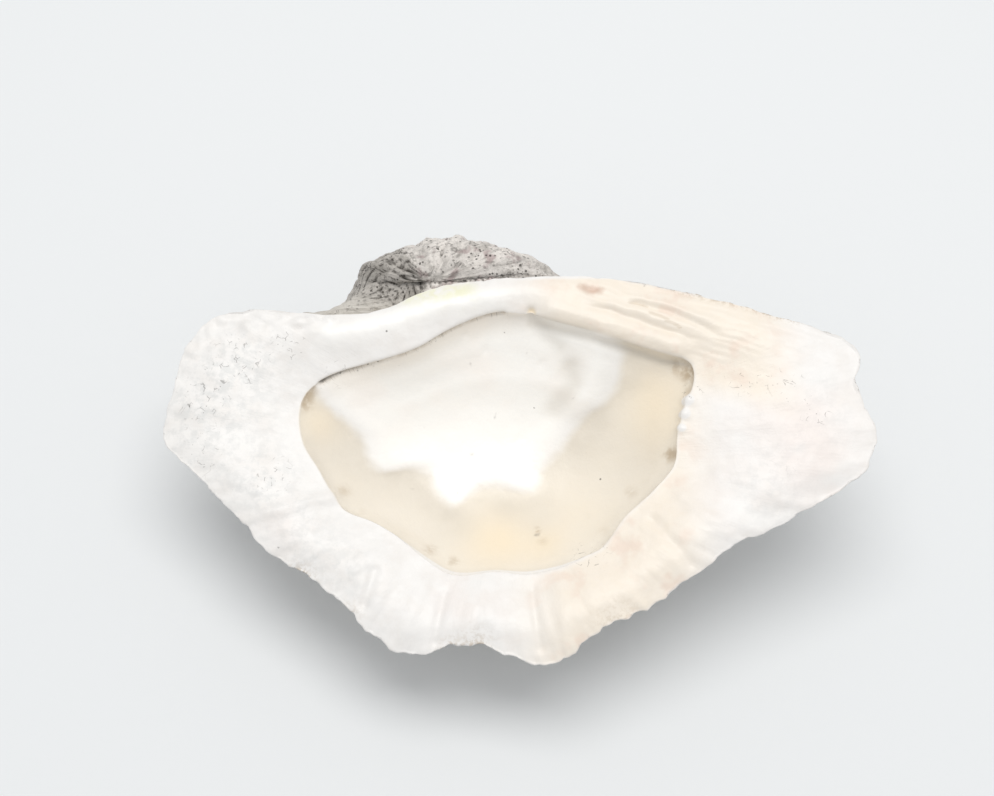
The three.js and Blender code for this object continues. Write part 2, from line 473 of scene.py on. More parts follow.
    def bowl(self, bearing: Array, inward: Array) -> Array:
        """The bowl.

        Args:
            bearing: Directions in degrees.
            inward: 0 at the bowl's edge and 1 in the middle of its floor.

        Returns:
            Points with their coordinates last.
        """
        angle, hinge = np.radians(bearing), self.hinge_side(bearing)
        half_x, half_y = self.floor_half_axes
        oval = 1.0 / np.hypot(np.cos(angle) / half_x, np.sin(angle) / half_y)
        rounded = smoothstep(inward, 0.0, self.floor_blend)
        outline = lerp(self.bowl_outline.reach(bearing), oval, rounded)
        level = np.cos(0.5 * math.pi * inward)
        overhang = lerp(self.overhang_front, self.overhang_hinge, hinge)
        undercut = overhang * np.sin(math.pi * np.minimum(inward / self.overhang_span, 1.0))
        drop = self.hinge_wall_drop * hinge * np.sin(math.pi * np.minimum(2.0 * inward, 1.0))
        power = lerp(self.roundness_front, self.roundness_hinge, hinge)
        sunk = 1.0 - np.maximum(level, 0.0) ** power + drop
        height = lerp(self.bowl_edge(bearing)[..., 2], -self.bowl_depth, sunk)
        return self.from_centre(bearing, outline * (level + undercut), height)


# ---- The grid of the fine surface ----


@dataclass
class SurfaceGrid:
    """The whole surface as rows from the beak over the lip to the bowl's floor, by bearing."""

    form: ValveForm
    columns: int = 576
    outside_rows: int = 116
    lip_rows: int = 5
    rim_rows: int = 36
    edge_rows: int = 3
    bowl_rows: int = 42
    lip_rounding: float = 1.7
    edge_rounding: float = 2.2
    edge_in: float = 0.035  # share of the way in at which the bowl's rounded edge ends
    beak_start: float = 0.992
    floor_end: float = 0.985
    outside_spread: float = 1.12  # power that draws the outside's rows together toward the beak
    ring_step: float = 1.15  # how far apart a ring's points may be before it skips no more columns
    most_skipped: int = 32

    def build(self) -> None:
        """Work out the points and, for each, where on the valve it lies."""
        form = self.form
        columns = np.arange(self.columns) * FULL_TURN / self.columns
        lip, edge = form.lip_point(columns), form.bowl_edge(columns)
        rim_width = np.linalg.norm(lip - edge, axis=-1)
        behind = form.outside(columns, np.full(self.columns, form.rib_rise))
        full_turn = np.linalg.norm(lip - behind, axis=-1) / form.rib_rise
        lip_back = self.lip_rounding / full_turn
        lip_in = self.lip_rounding / rim_width
        edge_out = 1.0 - self.edge_rounding / rim_width

        fade = form.shrink_rate * form.winding
        arc = np.linspace(0.0, 1.0, self.outside_rows) ** self.outside_spread
        shrunk = 1.0 - arc * (1.0 - math.exp(-fade))
        steps = (-np.log(shrunk) / fade)[::-1] * self.beak_start
        grown = lip_back + (1.0 - lip_back) * steps[:, None]
        across = lerp(lip_in, edge_out, np.linspace(0, 1, self.rim_rows)[:, None])
        inward = np.linspace(self.edge_in, self.floor_end, self.bowl_rows)[:, None]
        inward = self.rows_of(self.bowl_rows, inward)

        outer = form.outside(np.broadcast_to(columns, grown.shape), grown)
        flat = form.rim(np.broadcast_to(columns, across.shape), across)
        hollow = form.bowl(np.broadcast_to(columns, inward.shape), inward)
        over_lip = self.corner(outer[-1], lip, flat[0], self.lip_rows)
        over_edge = self.corner(flat[-1], edge, hollow[0], self.edge_rows)
        self.points = np.concatenate([outer, over_lip, flat, over_edge, hollow])
        self.bearing = np.broadcast_to(columns, self.points.shape[:2])
        self.lip_point = np.broadcast_to(lip, self.points.shape)

        bend = (np.arange(self.lip_rows)[:, None] + 1.0) / (self.lip_rows + 1.0)
        turn = (np.arange(self.edge_rows)[:, None] + 1.0) / (self.edge_rows + 1.0)
        self.grown = np.zeros(self.points.shape[:2])
        self.grown[: self.outside_rows] = grown
        self.outer = np.zeros(self.points.shape[:2])
        self.outer[: self.outside_rows] = 1.0
        self.outer[self.outside_rows : self.outside_rows + self.lip_rows] = 1.0 - bend
        self.hollow = np.zeros(self.points.shape[:2])
        self.hollow[-self.bowl_rows :] = 1.0
        self.hollow[-self.bowl_rows - self.edge_rows : -self.bowl_rows] = turn
        self.flat = 1.0 - self.outer - self.hollow
        # Distances, in millimetres: from the lip, and inward from the bowl's edge.
        past_lip = self.rows_of(self.lip_rows, self.lip_rounding / 2)
        past_rim = self.rows_of(self.edge_rows + self.bowl_rows, rim_width)
        self.lip_gap = np.concatenate([grown * full_turn, past_lip, across * rim_width, past_rim])
        before_rim = self.rows_of(self.outside_rows + self.lip_rows, -rim_width)
        near_edge = self.rows_of(self.edge_rows, (turn - 0.5) * self.edge_rounding)
        reach = np.linalg.norm(hollow - edge, axis=-1)
        self.edge_gap = np.concatenate([before_rim, (across - 1.0) * rim_width, near_edge, reach])

    def rows_of(self, count: int, values: Array | float) -> Array:
        """The same values over a number of rows."""
        return np.broadcast_to(values, (count, self.columns))

    @staticmethod
    def corner(start: Array, sharp: Array, end: Array, rows: int) -> Array:
        """Rows of a quadratic curve from one surface to the next, pulled to the sharp corner.

        Args:
            start: Last points of the first surface.
            sharp: The corner's points.
            end: First points of the next surface.
            rows: How many rows to make between them.

        Returns:
            The rows' points.
        """
        t = ((np.arange(rows) + 1.0) / (rows + 1.0))[:, None, None]
        return start * (1 - t) ** 2 + sharp * 2 * t * (1 - t) + end * t * t

    def normals(self) -> Array:
        """The outward unit normals of the present points.

        Returns:
            One normal for each point.
        """
        along = np.gradient(self.points, axis=0)
        around = np.roll(self.points, -1, axis=1) - np.roll(self.points, 1, axis=1)
        normal = np.cross(around, along)
        normal /= np.maximum(np.linalg.norm(normal, axis=-1, keepdims=True), 1e-9)
        return normal if normal[-3, :, 2].mean() > 0 else -normal

    def strides(self) -> list[int]:
        """How many columns each row skips, so that the rings near the two poles stay coarse.

        Returns:
            One step, a power of two, for each row.
        """
        around = np.linalg.norm(np.roll(self.points, -1, axis=1) - self.points, axis=-1).mean(axis=1)
        found = [1] * len(around)
        for row, step in enumerate(around):
            while found[row] < self.most_skipped and step * found[row] * 2 < self.ring_step:
                found[row] *= 2
        top = int(np.argmin(found))
        for row in range(top - 1, -1, -1):
            found[row] = min(max(found[row], found[row + 1]), found[row + 1] * 2)
        first_bowl = len(around) - self.bowl_rows
        for row in range(top, first_bowl):
            found[row] = 1
        for row in range(first_bowl, len(around)):
            found[row] = min(max(found[row], found[row - 1]), found[row - 1] * 2)
        return found


# ---- Relief: what stands out from the broad form ----


@dataclass(frozen=True)
class Ripple:
    """Noise that raises and sinks the surface, in millimetres."""

    height: float
    size: float
    shift: float = 0.0  # another shift gives other ripples
    octaves: int = 1
    gain: float = 0.5


@dataclass(frozen=True)
class Streaks:
    """Streaks that run from the beak out over the lip, in millimetres."""

    height: float
    size: float
    length: float
    shift: float = 0.0


@dataclass(frozen=True)
class Pits:
    """Scattered round pits, in millimetres. A depth below 0 raises them."""

    depth: float
    size: float
    radius: float  # as a share of the size
    shift: float = 0.0


@dataclass(frozen=True)
class LipRelief:
    """How the lip is scalloped and chipped."""

    scallops: tuple[Ripple, ...] = (Ripple(1.1, 9.0), Ripple(0.8, 4.6, 50.0), Ripple(0.55, 2.6, 90.0))
    chips: Ripple = Ripple(1.0, 13.0, 130.0)
    chip_depth: float = 2.0
    chip_range: Pair = (0.35, 0.8)  # ripple heights over which a chip deepens
    lumps: Ripple = Ripple(1.3, 6.0, 170.0)
    rough_rear: Pair = (45.0, 75.0)  # how far left the rear lip turns as rough as the front
    smooth_share: float = 0.35  # share of the scallops along the hinge
    reach: float = 4.5


@dataclass(frozen=True)
class OutsideRelief:
    """The outside's growth ledges, riblets, hollows and pits."""

    ledge_count: float = 13.0
    ledge_wander: tuple[Ripple, ...] = (Ripple(0.8, 38.0), Ripple(0.25, 11.0))
    ledge_front: float = 0.14  # share of a ledge over which it rises
    ledge_slope: float = 1.3  # power by which it falls again
    ledge_height: float = 3.2
    ledge_between: float = 0.35  # share of the height between the ribs
    ledge_early: float = 0.25  # share of the height by the beak
    ledge_wear: Ripple = Ripple(0.7, 24.0, 300.0)
    ledge_wear_mean: float = 0.75
    ledge_wear_limits: Pair = (0.1, 1.5)
    umbo_start: Pair = (0.38, 0.6)  # shares of the growth, from the lip back
    riblets: tuple[Streaks, ...] = (Streaks(0.55, 7.0, 60.0), Streaks(0.3, 3.0, 30.0, 4.0))
    riblet_wear: float = 0.85  # share of the riblets that the umbo has lost
    worn: Ripple = Ripple(0.9, 22.0, 70.0, 5, 0.55)
    rough: Ripple = Ripple(1.0, 7.0, 20.0, 4, 0.65)
    rough_shares: Pair = (0.5, 1.4)  # by the lip, and on the umbo
    pits: Pits = Pits(1.0, 5.5, 0.3)
    pit_shares: Pair = (0.35, 1.0)
    fine_pits: Pits = Pits(0.7, 2.8, 0.32, 200.0)
    lip_clear: float = 9.0


@dataclass(frozen=True)
class RimRelief:
    """The rim's waves, rays and grain."""

    waves: tuple[Ripple, ...] = (Ripple(1.0, 42.0, 11.0, 3), Ripple(0.35, 9.0, 0.0, 3))
    rays: tuple[Streaks, ...] = (Streaks(0.9, 11.0, 34.0, 2.0), Streaks(0.6, 5.5, 17.0))
    ray_reach: float = 22.0
    fine_rays: Streaks = Streaks(0.45, 2.8, 10.0, 7.0)
    fine_ray_reach: float = 9.0
    ray_hinge_share: float = 0.2  # share of the rays along the hinge
    knob_lumps: Ripple = Ripple(1.8, 8.0, 5.0, 3, 0.6)
    knob_tips: Pits = Pits(-2.0, 8.0, 0.5)
    grain: Ripple = Ripple(0.16, 4.0, 40.0, 3, 0.6)
    edge_share: float = 0.5  # share of it all that runs on over the bowl's edge
    edge_reach: float = 4.0


@dataclass(frozen=True)
class HingeTints:
    """Where the hinge plate is cream and where the rim by the beak is lime, in millimetres."""

    cream_start: Pair = (26.0, 62.0)
    cream_rear: Pair = (-1.0, 1.0)
    cream_front: Pair = (0.0, 14.0)
    cream_narrowing: Pair = (96.0, 124.0)
    cream_end: Pair = (134.0, 162.0)
    lime_front: float = 6.0
    lime_slope: float = 0.02
    lime_width: float = 5.0
    lime_start: Pair = (-22.0, -10.0)
    lime_end: Pair = (12.0, 24.0)


@dataclass(frozen=True)
class HingeMarks:
    """The lines and pits of the hinge, seen straight from above the opening."""

    tooth: Trace = Trace(((44, -12), (58, -15.5), (72, -20), (93, -27.5), (112, -34.5)), 4.2, 2.3, 0.12)
    second_ridge: Trace = Trace(((66, -9.0), (93, -17.4), (118, -27)), 1.7, 0.9, 0.3)
    third_ridge: Trace = Trace(((80, -7.6), (104, -14.5), (128, -25)), 1.9, 0.8, 0.3)
    furrows: Marks = (
        Trace(((62, -11.5), (76, -15.0), (93, -21.4), (117, -31)), 1.2, -1.0, 0.3),
        Trace(((80, -9.6), (104, -17.2), (126, -28.5)), 1.2, -1.1, 0.25),
    )
    slits: Marks = (
        Trace(((84.5, -11.6), (88, -12.0), (92, -13.6)), 0.9, -0.4, 0.3),
        Trace(((93, -16.6), (97, -17.8), (101, -20.0)), 0.9, -0.4, 0.3),
        Trace(((99.5, -20.2), (103, -21.4), (106, -23.6)), 0.9, -0.4, 0.3),
    )
    red_pit: Trace = Trace(((64.5, -4.2), (68, -5.3), (72, -6.0)), 1.8, -1.1, 0.3)
    amber_pit: Spot = Spot(42.5, -14.9, 2.0, -2.0)
    roll: Trace = Trace(((-56, -27), (-35, -23), (-14, -16.5), (4, -11.5), (22, -9), (40, -8.5)),
                        5.5, 1.5, 0.15)
    # The crevice under the hinge's edge: where it starts and ends, how far in it runs, its size.
    crevice_bearings: Pair = (87.0, 157.0)
    crevice_in: float = 1.2
    crevice_width: float = 1.0
    crevice_depth: float = 1.9
    # The plate: its slope, where it wavers, its fibres and where it starts and ends.
    slope: float = 0.36
    wander_x: Ripple = Ripple(0.8, 9.0, 500.0)
    wander_y: Ripple = Ripple(0.8, 9.0, 540.0)
    fibres: Ripple = Ripple(0.25, 1.6)
    fibre_stretch: float = 0.12
    plate_start: Pair = (40.0, 70.0)
    plate_edge: Pair = (-8.0, 4.0)
    tooth_foot: Trace = Trace(((41.9, -16.6), (54.7, -20.4), (71.7, -24.9), (88.6, -31.8), (99, -35.4),
                        (109.6, -37.8)), 1.3, -1.1, 0.1)


@dataclass(frozen=True)
class UmboMarks:
    """The umbo's lobes, seen straight from above the opening."""

    gash: Trace = Trace(((-4.8, -1.5), (-5.9, 1.2), (-9.3, 4.6), (-12.6, 6.9), (-17, 9.0), (-21, 10)),
                        1.6, -2.3, 0.35)
    left_lobe: Spot = Spot(-19.0, 2.0, 8.5, 2.2)
    left_centre: Triple = (-18.0, -3.5, -6.5)
    furrow: Trace = Trace(((0.5, 3.0), (3.0, 11.0), (6.0, 20.0)), 1.8, -0.9, 0.2)
    right_lobe: Spot = Spot(24.0, 9.0, 13.0, 1.4)
    top_heights: Pair = (-16.0, -8.0)
    top_grown: Pair = (0.45, 0.6)
    gash_slope: float = 0.4
    gash_floor: float = -9.0  # height below which the gash isn't dark
    left_start: Pair = (5.0, 8.0)
    left_tint: Pair = (3.0, 9.0)
    left_heights: Pair = (-24.0, -9.0)
    arc_spacing: float = 2.7
    arc_height: float = 0.75
    arc_wander: Ripple = Ripple(0.5, 9.0, 60.0)
    arc_rise: Pair = (0.0, 0.3)
    arc_fall: Pair = (0.55, 1.0)


@dataclass(frozen=True)
class BowlMarks:
    """What the bowl carries: the raised white callus, a ridge, hollows, brown spots (those in its two deep
    corners painted shade) and spots of painted shade round the callus.
    """

    callus: PolarOutline = PolarOutline((20.0, -45.0), (
        (4, 59.4), (14, 62.8), (24, 60.5), (45, 46), (75, 40), (105, 38), (135, 46), (155, 56), (170, 68),
        (179, 71), (184, 68.5), (188, 65), (191, 61), (199, 54.8), (209, 56.2), (217, 53.5), (222, 44.5),
        (233, 39.5), (243, 45.1), (254, 47.5), (262, 40.5), (269, 36.5), (284, 38.6), (296, 44.5),
        (302, 44), (312, 40.4), (320, 39.7), (337, 41.3), (350, 47.7), (356, 54.1)))
    ridge: Trace = Trace(((73, -26.5), (71, -33.5), (67.5, -41), (62, -48)), 6.0, 1.9)
    hollows: Marks = (
        Trace(((42.5, -16), (48, -21), (54.5, -27)), 3.4, -1.2),
        Trace(((59, -35), (60, -41), (56.5, -46), (52, -50)), 4.6, -1.8),
    )
    ragged: Ripple = Ripple(3.0, 15.0, 0.0, 4, 0.55)
    ragged_squash: Triple = (1.0, 1.0, 0.3)
    step_height: float = 1.2
    step_width: float = 5.0
    waves: tuple[Ripple, ...] = (Ripple(0.8, 30.0, 140.0, 3), Ripple(0.12, 6.0, 0.0, 3))
    dents: Pits = Pits(0.5, 17.0, 0.16, 400.0)
    crust_height: float = 1.6
    edge_clear: float = 7.0
    shade_depth: float = 1.8
    # How far the rim's white runs down into the bowl along its front edge, and over which bearings.
    white_front: float = 3.6
    front_bearing: float = 262.0
    front_spread: Pair = (25.0, 60.0)
    # Brown spots: the two at the left corner and the three at the right corner by the hinge are painted
    # shade in the bowl's deep corners; the rest are real brown marks.
    stains_and_corner_shade: Marks = (
        Spot(-54, -46, 4.5, 1.0), Spot(-55, -53, 4.0, 0.7), Spot(-38, -90, 4.0, 0.55),
        Spot(-1, -115, 4.0, 0.6), Spot(9, -120, 3.5, 0.6), Spot(44, -104, 2.0, 0.8),
        Spot(46, -110, 3.5, 0.45), Spot(72, -108, 4.0, 0.35), Spot(84, -90, 4.5, 0.45),
        Spot(101, -76.5, 4.0, 0.95), Spot(110, -41.5, 4.5, 1.0), Spot(104, -37.5, 4.0, 0.6),
        Spot(109, -50, 3.0, 0.5), Spot(-30, -99, 4.0, 0.3),
    )
    ambers: Marks = (
        Spot(27, -108, 15, 0.9), Spot(96, -50, 14, 0.55), Spot(-49, -60, 10, 0.6),
        Spot(98, -66, 13, 0.35), Spot(62, -98, 16, 0.2), Spot(48, -112, 9, 0.5),
    )
    crust: Marks = (Spot(108.6, -54, 2.6, 1.0), Spot(107.0, -60, 2.4, 1.0), Spot(105.5, -66, 2.0, 0.9))
    # Small grey nicks in the callus and the ground.
    nicks: Marks = (
        Trace(((24.3, -51.6), (26.9, -49.8)), 0.8, 1.0, 0.3),
        Trace(((13.6, -69), (17.8, -67.2)), 1.0, 0.9, 0.3),
        Trace(((-6.2, -55), (-6.0, -58)), 1.0, 0.5, 0.3), Spot(15.2, -31.4, 0.9, 0.8),
        Spot(40.1, -27.5, 0.8, 0.7), Trace(((60.6, -43.8), (60.9, -46)), 0.7, 1.0, 0.3),
        Spot(-10.6, -84.4, 0.8, 0.9), Trace(((43.7, -105.2), (43.9, -107.5)), 1.3, 1.5, 0.3),
    )
    # Spots of painted grey-brown shade on the ground just outside the callus, where it steps down.
    clouds: Marks = (
        Spot(-36, -66, 11, 0.7), Spot(-22, -76, 12, 1.0), Spot(-4, -86, 12, 0.9), Spot(8, -101, 11, 1.0),
        Spot(30, -92, 9, 0.8), Spot(44, -98, 10, 0.7), Spot(62, -70, 10, 0.6), Spot(70, -58, 8, 0.45),
        Spot(-48, -74, 9, 0.5), Spot(84, -80, 12, 0.4),
    )


@dataclass(frozen=True)
class RimMarks:
    """Lines over the rim, and where it is bored, tinted or mottled."""

    folds: Marks = (
        Trace(((-36, -92), (-55, -98), (-77, -105)), 3.0, 1.3),
        Trace(((-22, -126), (-26, -140)), 2.2, -1.4),
        Trace(((-3, -132), (-9, -150)), 4.5, 1.1),
        Trace(((6, -136), (3, -155)), 2.0, -1.2),
        Trace(((22, -132), (17, -150)), 5.0, 0.9),
        Trace(((42, -134), (45, -158)), 2.0, -0.9),
        Trace(((53, -132), (57, -156)), 4.0, 0.8),
        Trace(((104, -96), (122, -112)), 3.0, 0.9),
        Trace(((92, -106), (106, -124)), 2.4, -0.9),
        Trace(((120, -86), (146, -98)), 3.2, 0.8),
    )
    borings: Marks = (
        Spot(-84, -36, 13, 1.0), Spot(-61, -29, 9, 0.9), Spot(-66, -86, 10, 0.9), Spot(-98, -52, 12, 0.8),
        Spot(-96, -76, 12, 0.7), Spot(132, -46, 8, 1.0), Spot(150, -50, 8, 1.0), Spot(161, -63, 7, 0.9),
        Spot(66, -119, 8, 1.0), Spot(110, -50, 5, 1.0), Spot(-40, -38, 8, 0.6), Spot(146, -84, 10, 0.4),
    )
    knobs: Marks = (Trace(((-108, -30), (-90, -17.5), (-76, -14.5), (-56, -17), (-44, -19)), 5.5, 1.0),)
    pinks: Marks = (
        Spot(20, -140, 13, 0.4), Spot(150, -60, 22, 0.7), Spot(120, -95, 20, 0.25), Spot(80, -126, 14, 0.2),
        Spot(8, -138, 8, 0.3), Spot(-60, -108, 10, 0.3), Spot(160, -85, 16, 0.6),
    )
    grimes: Marks = (
        Spot(20, -153, 8, 1.0), Spot(8, -156, 4, 0.6), Spot(74, -141, 9, 0.9), Spot(-52, -127, 6, 1.0),
        Spot(-30, -142, 5, 0.5), Spot(110, -118, 6, 0.4),
        Trace(((100, -4.5), (115, -8.5), (139, -15.6), (158, -22.5)), 2.2, 0.8, 0.1),
    )
    cools: Marks = (
        Spot(-95, -60, 26, 0.9), Spot(-80, -35, 16, 0.7), Spot(-55, -110, 14, 0.7), Spot(-70, -88, 14, 0.8),
        Spot(140, -90, 16, 0.7), Spot(158, -66, 16, 0.8), Spot(-35, -125, 12, 0.6), Spot(60, -145, 10, 0.3),
    )
    grime_reach: float = 5.0


class Relief:
    """Raises and sinks the fine surface, and says where each colour lies."""

    def __init__(self, grid: SurfaceGrid, seed: int = 7) -> None:
        """Keep the grid, its noise and the sizes of what stands out.

        Args:
            grid: The surface to work on.
            seed: Seed of all the noise.
        """
        self.grid = grid
        self.noise = Noise(seed)
        self.x, self.y = grid.points[..., 0], grid.points[..., 1]
        self.base = grid.points.copy()
        self.front = 1.0 - grid.form.hinge_side(grid.bearing)
        self.hinge, self.umbo, self.bowl, self.rim = HingeMarks(), UmboMarks(), BowlMarks(), RimMarks()

    def ripple(self, *ripples: Ripple, over: Array | None = None) -> Array:
        """The sum of some ripples.

        Args:
            ripples: The ripples to add up.
            over: What they run over, or the smooth form.

        Returns:
            Heights in millimetres.
        """
        points = self.base if over is None else over
        total = np.zeros(points.shape[:-1])
        for one in ripples:
            total += one.height * self.noise.fractal(points + one.shift, one.size, one.octaves, one.gain)
        return total

    def streaks(self, *streaks: Streaks) -> Array:
        """The sum of some streaks that run from the beak out over the lip.

        Args:
            streaks: The streaks to add up.

        Returns:
            Heights in millimetres.
        """
        lip = self.grid.lip_point
        total = np.zeros(lip.shape[:-1])
        for streak in streaks:
            along = self.grid.lip_gap * streak.size / streak.length + streak.shift * streak.size
            places = np.stack([lip[..., 0], lip[..., 1], along], -1)
            total += streak.height * self.noise.smooth(places, streak.size)
        return total

    def pits(self, pits: Pits) -> Array:
        """The heights of scattered pits, below 0 where the surface is sunk."""
        return -pits.depth * self.noise.pits(self.base + pits.shift, pits.size, pits.radius)

    def lip_outline(self) -> None:
        """Chip and scallop the lip, moving it in and out in its own plane."""
        grid, sizes = self.grid, LipRelief()
        lip = grid.lip_point * FLATTENED
        scallops = self.ripple(*sizes.scallops, over=lip)
        chips = -sizes.chip_depth * smoothstep(self.ripple(sizes.chips, over=lip), *sizes.chip_range)
        rough = np.maximum(self.front, smoothstep(-grid.points[..., 0], *sizes.rough_rear))
        lumps = self.ripple(sizes.lumps, over=lip) * (rough - self.front)
        moved = (scallops + chips) * lerp(sizes.smooth_share, 1.0, rough) + lumps
        moved = moved * np.exp(-grid.lip_gap / sizes.reach)
        angle = np.radians(grid.bearing)
        grid.points[..., 0] += moved * np.cos(angle)
        grid.points[..., 1] += moved * np.sin(angle)

    def ledges(self, umbo: Array) -> Array:
        """The growth ledges of the outside.

        Args:
            umbo: 1 on the worn umbo, where no ledges are left.

        Returns:
            Heights in millimetres.
        """
        grid, sizes = self.grid, OutsideRelief()
        shrunk = np.exp(-grid.form.shrink_rate * grid.form.winding * grid.grown)
        phase = sizes.ledge_count * grid.grown + self.ripple(*sizes.ledge_wander)
        part = phase - np.floor(phase)
        ledge = smoothstep(part, 0.0, sizes.ledge_front) * (1.0 - part) ** sizes.ledge_slope
        strength = lerp(sizes.ledge_between, 1.0, grid.form.rib_profile(grid.bearing))
        strength *= np.clip(sizes.ledge_wear_mean + self.ripple(sizes.ledge_wear), *sizes.ledge_wear_limits)
        return sizes.ledge_height * ledge * strength * lerp(sizes.ledge_early, 1.0, shrunk) * (1.0 - umbo)

    def outside_height(self) -> Array:
        """Growth ledges, riblets, worn hollows and pits of the outside.

        Returns:
            Heights in millimetres.
        """
        grid, sizes = self.grid, OutsideRelief()
        umbo = smoothstep(grid.grown, *sizes.umbo_start)
        riblets = self.streaks(*sizes.riblets) * (1.0 - sizes.riblet_wear * umbo)
        rough = self.ripple(sizes.rough) * lerp(*sizes.rough_shares, umbo)
        pits = self.pits(sizes.pits) * lerp(*sizes.pit_shares, umbo) + self.pits(sizes.fine_pits) * umbo
        clear = smoothstep(grid.lip_gap, 0.0, sizes.lip_clear)
        broad = (self.ledges(umbo) + self.ripple(sizes.worn)) * clear
        return grid.outer * (broad + riblets + rough + pits + self.umbo_height())

    def umbo_height(self) -> Array:
        """The umbo's two lobes, the gash between them and the arcs of early growth.

        Returns:
            Heights in millimetres.
        """
        x, y, marks = self.x, self.y, self.umbo
        top = smoothstep(self.base[..., 2], *marks.top_heights)
        top *= smoothstep(self.grid.grown, *marks.top_grown)
        lobes = marks.left_lobe.swell(x, y) + marks.right_lobe.swell(x, y)
        cuts = marks.gash.swell(x, y) + marks.furrow.swell(x, y)
        return top * (lobes + cuts + marks.arc_height * (self.umbo_arcs() - 0.5))

    def umbo_arcs(self) -> Array:
        """Arcs of early growth round the beak, and round the left lobe's own middle, 0 to 1.

        Returns:
            1 on the crest of an arc, 0 between two.
        """
        marks = self.umbo
        from_beak = np.linalg.norm(self.base, axis=-1)
        from_lobe = np.linalg.norm(self.base - marks.left_centre, axis=-1)
        left = smoothstep(self.past_gash(), *marks.left_start)
        phase = lerp(from_beak, from_lobe, left) / marks.arc_spacing + self.ripple(marks.arc_wander)
        part = phase - np.floor(phase)
        return smoothstep(part, *marks.arc_rise) * (1.0 - smoothstep(part, *marks.arc_fall))

    def past_gash(self) -> Array:
        """How far a place is past the gash, toward the left lobe, in millimetres."""
        return -self.x - self.umbo.gash_slope * self.y

    def rim_height(self) -> Array:
        """Waves, radial folds and hinge lines of the rim.

        Returns:
            Heights in millimetres.
        """
        grid, sizes = self.grid, RimRelief()
        waves = self.ripple(*sizes.waves)
        rays = self.streaks(*sizes.rays) * np.exp(-grid.lip_gap / sizes.ray_reach)
        rays += self.streaks(sizes.fine_rays) * np.exp(-grid.lip_gap / sizes.fine_ray_reach)
        rays = rays * lerp(sizes.ray_hinge_share, 1.0, self.front)
        marks = total_swell(self.rim.folds, self.x, self.y)
        knobs = total_swell(self.rim.knobs, self.x, self.y)
        marks += knobs * (self.ripple(sizes.knob_lumps) + self.pits(sizes.knob_tips))
        marks += self.hinge_height()
        near = grid.flat + sizes.edge_share * grid.hollow * bell(grid.edge_gap, sizes.edge_reach)
        return near * (waves + rays + marks + self.ripple(sizes.grain))

    def before_hinge_line(self, x: Array, y: Array) -> Array:
        """How far a place is in front of a line that slopes as the hinge plate does, in millimetres."""
        return -y - self.hinge.slope * x

    def hinge_height(self) -> Array:
        """The hinge's tooth, ridges, furrows, slits and pits.

        Returns:
            Heights in millimetres.
        """
        hinge = self.hinge
        x, y = self.x + self.ripple(hinge.wander_x), self.y + self.ripple(hinge.wander_y)
        lines = (hinge.tooth, hinge.second_ridge, hinge.third_ridge, *hinge.furrows, *hinge.slits,
                 hinge.red_pit, hinge.amber_pit, hinge.roll)
        across = -self.before_hinge_line(x, y)
        fibre_places = np.stack([hinge.fibre_stretch * x, across, np.zeros(x.shape)], -1)
        plate = smoothstep(x, *hinge.plate_start) * (1.0 - smoothstep(-across, *hinge.plate_edge))
        return total_swell(lines, x, y) + self.ripple(hinge.fibres, over=fibre_places) * plate

    def callus_depth(self) -> Array:
        """How far inside the callus a place is, with a ragged boundary, in millimetres."""
        ragged = self.ripple(self.bowl.ragged, over=self.base * self.bowl.ragged_squash)
        return self.bowl.callus.depth_inside(self.x, self.y) + ragged

    def bowl_height(self) -> Array:
        """The callus's step and the bowl's ridges, hollows, waves and dimples.

        Returns:
            Heights in millimetres.
        """
        grid, bowl = self.grid, self.bowl
        step = bowl.step_height * smoothstep(self.callus_depth(), -bowl.step_width, bowl.step_width)
        marks = bowl.ridge.swell(self.x, self.y) + total_swell(bowl.hollows, self.x, self.y)
        crust = bowl.crust_height * total_swell(bowl.crust, self.x, self.y)
        away = smoothstep(grid.edge_gap, 0.0, bowl.edge_clear)
        ground = (step + self.ripple(*bowl.waves) + self.pits(bowl.dents)) * away
        return grid.hollow * (ground + marks) + crust

    def white_front(self) -> Array:
        """How far down into the bowl the rim's white runs, in millimetres."""
        away = np.abs(bearing_gap(self.grid.bearing, self.bowl.front_bearing))
        return self.bowl.white_front * (1.0 - smoothstep(away, *self.bowl.front_spread))

    def crevices(self) -> Array:
        """The narrow crevice under the hinge's edge, and the foot of the long tooth."""
        cut = -self.hinge.crevice_depth * bell(self.crevice_gap(), self.hinge.crevice_width)
        return (1.0 - self.grid.outer) * (cut + self.hinge.tooth_foot.swell(self.x, self.y))

    def crevice_gap(self) -> Array:
        """The distance of each place from the crevice, in millimetres.

        Returns:
            Distances, which past the crevice's ends also count degrees.
        """
        start, end = self.hinge.crevice_bearings
        middle, half = (start + end) / 2, (end - start) / 2
        beyond = np.maximum(np.abs(bearing_gap(self.grid.bearing, middle)) - half, 0.0)
        return np.hypot(self.grid.edge_gap - self.hinge.crevice_in, beyond)

    def apply(self) -> None:
        """Move the grid's points out and in."""
        grid = self.grid
        height = self.outside_height() + self.rim_height() + self.bowl_height() + self.crevices()
        self.lip_outline()
        grid.points = grid.points + height[..., None] * grid.normals()
        self.height = height

    def cream_zone(self) -> Array:
        """Where the hinge plate is cream, 0 to 1.

        Returns:
            Shares of the tint.
        """
        zone, across = HingeTints(), self.before_hinge_line(self.x, self.y)
        cream = smoothstep(self.x, *zone.cream_start) * smoothstep(-self.y, *zone.cream_rear)
        cream *= 1.0 - smoothstep(across, *zone.cream_front) * smoothstep(self.x, *zone.cream_narrowing)
        return cream * (1.0 - smoothstep(self.x, *zone.cream_end))

    def lime_zone(self) -> Array:
        """Where the rim by the beak has its lime tint, 0 to 1.

        Returns:
            Shares of the tint.
        """
        zone = HingeTints()
        near = bell(self.y + zone.lime_front - zone.lime_slope * self.x, zone.lime_width)
        return near * smoothstep(self.x, *zone.lime_start) * (1.0 - smoothstep(self.x, *zone.lime_end))

